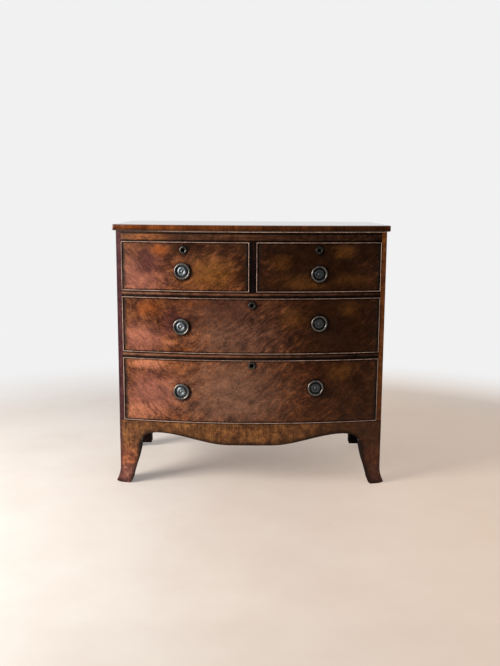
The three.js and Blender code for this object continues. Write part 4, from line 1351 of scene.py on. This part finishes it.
print("beads stand", round(BEAD_PROUD / MM, 1), "mm proud")

# %% [markdown]
# ## Handles and escutcheons
#
# Each backplate is turned: a profile of radius and height is spun about the axis that goes
# through the front. Shallow petals are pressed into its boss. The ring is a bent wire with a
# pin at each end, hung in a knuckle at the plate's top. All are made about the origin and
# then stood square on the bow, where the joint says that the ring's pins lie.

# %% Handles and escutcheons
RING_RADIUS = 23.6 * MM
WIRE = 2.6 * MM
RING_AHEAD = 4.8 * MM
KNUCKLE_HALF = 3.6 * MM
KNUCKLE = 3.1 * MM
PIN = 1.1 * MM
GAP_ANGLE = math.asin((KNUCKLE_HALF + SEAM) / (RING_RADIUS - WIRE))
PIN_UP = RING_RADIUS * math.cos(GAP_ANGLE)
PETALS = 12
PETAL_RING = (7.6, 13.0)
PETAL_DEPTH = 0.35 * MM
PETAL_TWIST = 0.35
PLATE_EASE = 0.4 * MM
NUT_RADIUS = 6.4 * MM
NUT_THICKNESS = 3.4 * MM
PIN_START = 1.4 * MM
PLATE_STEPS = 64
WIRE_SIDES, WIRE_STEPS = 16, 80
PIN_SIDES = 12
KEY_STEPS = 48
NOSE_STEPS = 12
PLATE_RUB, RING_RUB, KEY_RUB = (-4.0, 6.2), (2.0, 6.6), (0.6, 2.3)
BOLT_PROFILE = ((2.6, 0.3), (2.6, -26.3), (0, -26.3))
KEY_NOSE_MIDDLE, KEY_NOSE_REACH = (9.15, 0.9), (2.85, 1.3)
KEY_OUTSIDE = ((7.4, -6), (7.4, 0.3), (12, 0.3))
KEY_INSIDE = ((6.3, -6), (7.4, -6))
PLATE_PROFILE = (
    (0, 5.7), (1.4, 5.6), (2.5, 5.2), (3.2, 4.6), (3.7, 4.0), (4.4, 3.7), (5.4, 3.7), (6.2, 4.0),
    (6.8, 4.5), (7.4, 4.7), (8.0, 4.6), (8.6, 4.9), (9.4, 5.4), (10.3, 5.7), (11.3, 5.5), (12.3, 5.0),
    (13.0, 4.4), (13.5, 4.2), (14.0, 4.3), (14.6, 4.1), (15.1, 3.5), (15.7, 2.7), (16.6, 2.0),
    (18.0, 1.5), (20.4, 1.4), (21.4, 1.8), (22.6, 1.9), (23.9, 1.9), (24.4, 1.6), (24.5, 1.1), (24.5, 0.3),
)


def add_turned(bm, profile, steps):
    """Spins a profile of (radius, height ahead of the face) in millimetres about the Y axis."""
    spun = bmesh.new()
    points = [spun.verts.new((radius * MM, -ahead * MM, 0)) for radius, ahead in profile]
    edges = [spun.edges.new(pair) for pair in zip(points, points[1:])]
    bmesh.ops.spin(
        spun, geom=points + edges, axis=(0, 1, 0), cent=(0, 0, 0), steps=steps,
        angle=math.tau, use_merge=True)
    bmesh.ops.remove_doubles(spun, verts=spun.verts, dist=TINY)
    face_outwards(spun)
    bm.from_mesh(new_mesh("turned", spun))


def mark_rub(bm, low, high):
    """Stores how far each point stands ahead of the face, from 0 to 1."""
    rub = bm.verts.layers.float.new("rub")
    for vert in bm.verts:
        vert[rub] = min(max((-vert.co.y / MM - low) / (high - low), 0), 1)


def stand_on_bow(bm, x, z):
    turn = Matrix.Rotation(math.asin(x / BOW_RADIUS), 4, "Z")
    bmesh.ops.transform(bm, matrix=Matrix.Translation((x, bow(x), z)) @ turn, verts=bm.verts)


def backplate(name, body, x, z):
    bm = bmesh.new()
    add_turned(bm, PLATE_PROFILE + BOLT_PROFILE, PLATE_STEPS)
    inner, outer = PETAL_RING
    for vert in bm.verts:
        radius = math.hypot(vert.co.x, vert.co.z) / MM
        if vert.co.y < -3 * MM and inner < radius < outer:
            depth = 1 - abs(2 * radius - inner - outer) / (outer - inner)
            turn = PETALS * math.atan2(vert.co.x, vert.co.z) + radius * PETAL_TWIST
            vert.co.y += PETAL_DEPTH * depth * (1 - math.cos(turn))
    barrel = add_rod(bm, KNUCKLE, (-KNUCKLE_HALF, -RING_AHEAD, PIN_UP), (KNUCKLE_HALF, -RING_AHEAD, PIN_UP))
    root = PIN_UP - KNUCKLE
    leaf = add_box(bm, -KNUCKLE_HALF, KNUCKLE_HALF, -RING_AHEAD, -SEAM, root, PIN_UP + KNUCKLE / 2)
    behind = FRONT_THICKNESS + SEAM
    nut = add_rod(bm, NUT_RADIUS, (0, behind, 0), (0, behind + NUT_THICKNESS, 0), 4)
    parts = set(barrel) | set(leaf) | set(nut)
    round_off(bm, arrises(bm, lambda e: e.verts[0] in parts), PLATE_EASE)
    mark_rub(bm, *PLATE_RUB)
    stand_on_bow(bm, x, z)
    add_piece(f"{name}_rosette", bm, body, "aged_brass", [plate_brass], f"{name}_backplate")


def ring(name, body, x, z):
    bm = bmesh.new()
    section = bmesh.ops.create_circle(bm, segments=WIRE_SIDES, radius=WIRE, cap_ends=True)["verts"]
    bmesh.ops.translate(bm, vec=(RING_RADIUS, 0, 0), verts=section)
    start = Matrix.Rotation(GAP_ANGLE - math.pi / 2, 4, "Y")
    bmesh.ops.transform(bm, matrix=start, verts=section)
    geometry = bm.verts[:] + bm.edges[:] + bm.faces[:]
    bmesh.ops.spin(
        bm, geom=geometry, axis=(0, 1, 0), cent=(0, 0, 0), steps=WIRE_STEPS,
        angle=math.tau - 2 * GAP_ANGLE, use_merge=False)
    wire_end = RING_RADIUS * math.sin(GAP_ANGLE) + MM
    for sign in (-1, 1):
        add_rod(bm, PIN, (sign * PIN_START, 0, PIN_UP), (sign * wire_end, 0, PIN_UP), PIN_SIDES)
    bmesh.ops.translate(bm, vec=(0, -RING_AHEAD, 0), verts=bm.verts)
    mark_rub(bm, *RING_RUB)
    stand_on_bow(bm, x, z)
    add_piece(f"{name}_ring_pull", bm, body, "aged_brass", [ring_brass], f"{name}_ring")


def escutcheon(name, x, z):
    (out, ahead), (reach_out, reach_ahead) = KEY_NOSE_MIDDLE, KEY_NOSE_REACH
    turns = [math.pi * i / NOSE_STEPS for i in range(NOSE_STEPS + 1)]
    nose = [(out + reach_out * math.cos(t), ahead + reach_ahead * math.sin(t)) for t in turns]
    bm = bmesh.new()
    add_turned(bm, (*KEY_OUTSIDE, *nose, *KEY_INSIDE), KEY_STEPS)
    mark_rub(bm, *KEY_RUB)
    stand_on_bow(bm, x, z)
    metals = [keyhole_brass]
    add_piece(f"{name}_key_ring", bm, f"{name}_drawer", "aged_brass", metals, f"{name}_escutcheon")


print("a ring hangs from pins", round(PIN_UP / MM, 1), "mm above the plate's middle")

# %% [markdown]
# ## The four drawers
#
# Handles and keyholes were never set out quite evenly, so their places come from the packed
# model. The patches of colour are listed for each front.

# %% The four drawers
# The umber patches are painted shade, over the right-hand parts and along the tops under the rails; the
# near-black one along the top of the upper right front is a painted shadow under the rail. The rosy patches
# at the lower left are the wood's colour with a painted sheen.
PATCHES = {
    "upper_left": [
        (ROSE_AND_SHEEN, 0.14, 0.3, 0.12, 0.10, 0.65), (PLUM, 0.22, 0.6, 0.05, 0.05, 0.85),
        (ORANGE, 0.32, 0.85, 0.04, 0.025, 0.8), (GOLD, 0.7, 0.38, 0.13, 0.07, 0.8),
        (PAINTED_SHADE_UMBER, 0.52, 0.88, 0.1, 0.05, 0.9), (PAINTED_SHADE_UMBER, 0.85, 0.9, 0.12, 0.05, 0.75),
        (PAINTED_SHADE_UMBER, 0.97, 0.5, 0.05, 0.16, 0.9), (PAINTED_SHADE_UMBER, 0.45, 1.0, 0.9, 0.11, 0.3),
    ],
    "upper_right": [
        (PAINTED_SHADE_UMBER, 0.5, 0.5, 0.6, 0.5, 1.0), (UNDER_RAIL_SHADOW, 0.4, 1.0, 0.9, 0.1, 0.45),
        (OCHRE, 0.7, 0.82, 0.05, 0.03, 0.7), (OCHRE, 0.2, 0.6, 0.04, 0.03, 0.5),
        (OCHRE, 0.4, 0.2, 0.12, 0.03, 0.5), (OCHRE, 0.8, 0.25, 0.08, 0.03, 0.4),
    ],
    "middle": [
        (ORANGE, 0.1, 0.8, 0.05, 0.03, 0.6), (ORANGE, 0.3, 0.9, 0.1, 0.02, 0.5),
        (PLUM, 0.2, 0.55, 0.06, 0.06, 0.8), (ROSE_AND_SHEEN, 0.08, 0.25, 0.1, 0.07, 0.7),
        (HAZEL, 0.45, 0.3, 0.2, 0.12, 0.75), (MAUVE, 0.42, 0.8, 0.22, 0.1, 0.75),
        (MAUVE, 0.55, 0.3, 0.15, 0.08, 0.6), (PAINTED_SHADE_UMBER, 0.85, 0.5, 0.34, 0.4, 1.0),
        (PAINTED_SHADE_UMBER, 0.5, 1.0, 1.3, 0.11, 0.3), (OCHRE, 0.88, 0.8, 0.05, 0.03, 0.5),
        (OCHRE, 0.66, 0.65, 0.05, 0.04, 0.4),
    ],
    "bottom": [
        (SALMON, 0.1, 0.92, 0.08, 0.025, 0.8), (ROSE_AND_SHEEN, 0.12, 0.45, 0.12, 0.10, 0.8),
        (SALMON, 0.06, 0.12, 0.08, 0.05, 0.6), (HAZEL, 0.45, 0.45, 0.24, 0.18, 0.85),
        (PAINTED_SHADE_UMBER, 0.9, 0.5, 0.32, 0.4, 0.85), (OCHRE, 0.86, 0.82, 0.06, 0.04, 0.6),
    ],
}
SPINE_SHARES = {"upper_left": 0.36, "upper_right": 0.1, "middle": 0.22, "bottom": 0.2}
PLUG_BELOW = 50 * MM
VENEER_STEP = 3.7


def handle_places(drawer):
    """Where each ring of a drawer hangs: its name and the x and z of its plate's middle."""
    found = []
    for joint in frame["joints"]:
        if joint["parent"] != f"{drawer}_drawer":
            continue
        turn = math.atan2(-joint["axis"][1], -joint["axis"][0])
        found.append((joint["child"], BOW_RADIUS * math.sin(turn), joint["pos_m"][2] - PIN_UP))
    return found


for number, name in enumerate(DRAWERS):
    low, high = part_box(f"{name}_drawer_front")
    area = (low.x, high.x, low.z, high.z)
    key_low, key_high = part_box(f"{name}_escutcheon")
    keyhole = ((key_low.x + key_high.x) / 2, (key_low.z + key_high.z) / 2)
    hung = handle_places(name)
    plug = (keyhole[0], keyhole[1] - PLUG_BELOW) if name == "middle" else None
    places = [(x, z) for _, x, z in hung]
    veneer = figured(
        f"{name}_veneer", area, VENEER_STEP * number, SPINE_SHARES[name], PATCHES[name], places,
        keyhole, plug)
    drawer_front(name, area, keyhole, veneer)
    cockbead(name, area)
    escutcheon(name, *keyhole)
    for pull, x, z in hung:
        handle = pull.removesuffix("_pull")
        backplate(handle, f"{name}_drawer", x, z)
        ring(handle, pull, x, z)
print("drawers:", len(DRAWERS))

# %% [markdown]
# ## The studio
#
# The floor is pale stone that fades into a white surround; its warmth and glow towards the right are painted
# light.
# A broad lamp at the left does what a window would: it rakes along the bow, so the left half
# glows and the right half falls into shade. Two dark cards, one upright and one flat, lie in
# front, out of the camera's sight, because polish mirrors the room before it, and a room is
# dimmer than a white wall.

# %% The studio
FLOOR_REACH = 8
FLOOR_FADE = (1.3, 2.6)
FLOOR_GLOW = (0.2, 0.42)
FLOOR_WARM_LIGHT = (1.0, 0.84, 0.72)
FLOOR_MIDDLE = (0, -0.6, 0)
FLOOR_TONES = paints((244, 232, 220), (251, 243, 232))
CARD_TONE = paint(50, 44, 40)
WHITE = (0.88, 0.88, 0.885)
SKY_LIGHT = (0.92, 0.95, 1, 1)
SKY_STRENGTH = 0.3
NEAR_LIGHT = ((1.0, 0.95, 0.92), (1.0, 0.82, 0.68))


def surround():
    world = bpy.data.worlds.new("surround")
    bpy.context.scene.world = world
    world.use_nodes = True
    wired["tree"] = world.node_tree
    rays = add_node("LightPath").outputs
    seen = rays["Is Camera Ray"]
    for kind in ("Is Glossy Ray", "Is Transmission Ray"):
        seen = maximum(seen, rays[kind])
    sky = world.node_tree.nodes["Background"]
    feed(sky, "Color", SKY_LIGHT)
    feed(sky, "Strength", SKY_STRENGTH)
    white = add_node("Background", {"Color": (*WHITE, 1), "Strength": 1.0})
    both = add_node("MixShader", {0: seen, 1: sky.outputs[0], 2: white.outputs[0]})
    feed(world.node_tree.nodes["World Output"], "Surface", both.outputs[0])


def sheet(name, verts, material):
    bm = bmesh.new()
    bm.faces.new([bm.verts.new(vert) for vert in verts])
    made = new_object(name, bm, [material])
    return made


def floor():
    material, shader, place = start_finish("pale_stone", Roughness=0.7)
    cloud = noise(place, 0.3, detail=5, rough=0.6)
    stone = ramp(cloud, FLOOR_TONES, (0.35, 0.65))
    along = split(place)[0]
    warm = ease(along, -0.7, 0.8)
    # Painted warm light: the stone is tinted warmer towards the right.
    stone = blend(warm, stone, FLOOR_WARM_LIGHT, "MULTIPLY")
    feed(shader, "Base Color", stone)
    away = vector("DISTANCE", place, FLOOR_MIDDLE, output="Value")
    rays = add_node("LightPath").outputs
    seen = maximum(rays["Is Camera Ray"], rays["Is Glossy Ray"])
    far = ease(away, *FLOOR_FADE)
    # Painted light: the floor glows more towards the right.
    near_glow = ease(along, -0.1, 0.6, *FLOOR_GLOW)
    near_light = blend(warm, *NEAR_LIGHT)
    share = multiply(maximum(far, near_glow), seen)
    glow = add_node("Emission", {"Color": blend(far, near_light, WHITE), "Strength": 1.0})
    both = add_node("MixShader", {0: share, 1: shader.outputs[0], 2: glow.outputs[0]})
    feed(material.node_tree.nodes["Material Output"], "Surface", both.outputs[0])
    reach = FLOOR_REACH
    sheet("floor", [(-reach, -reach, 0), (reach, -reach, 0), (reach, reach, 0), (-reach, reach, 0)], material)


def dark_cards():
    material = start_finish("dark_card", Roughness=0.9, Base_Color=(*CARD_TONE, 1))[0]
    far, near, half, high, low = -5, -1.1, 8, 6, 0.01
    upright = [(-half, far, low), (half, far, low), (half, far, high), (-half, far, high)]
    flat = [(-half, far, low), (half, far, low), (half, near, low), (-half, near, low)]
    for name, corners in (("upright_card", upright), ("flat_card", flat)):
        card = sheet(name, corners, material)
        card.visible_camera = False
        card.visible_diffuse = False
        card.visible_shadow = False


def lamp(name, place, aim, size, power, colour):
    data = bpy.data.lights.new(name, "AREA")
    data.shape = "RECTANGLE"
    data.size, data.size_y = size
    data.energy = power
    data.color = colour
    made = bpy.data.objects.new(name, data)
    made.location = place
    made.rotation_euler = (Vector(aim) - Vector(place)).to_track_quat("-Z", "Y").to_euler()
    bpy.context.scene.collection.objects.link(made)


surround()
floor()
dark_cards()
lamp(
    "window", place=(-2.5, -1.35, 1.4), aim=(0, -0.1, 0.45), size=(1.3, 1.5), power=105,
    colour=(1.0, 0.97, 0.94))
print("lamps:", len(bpy.data.lights))
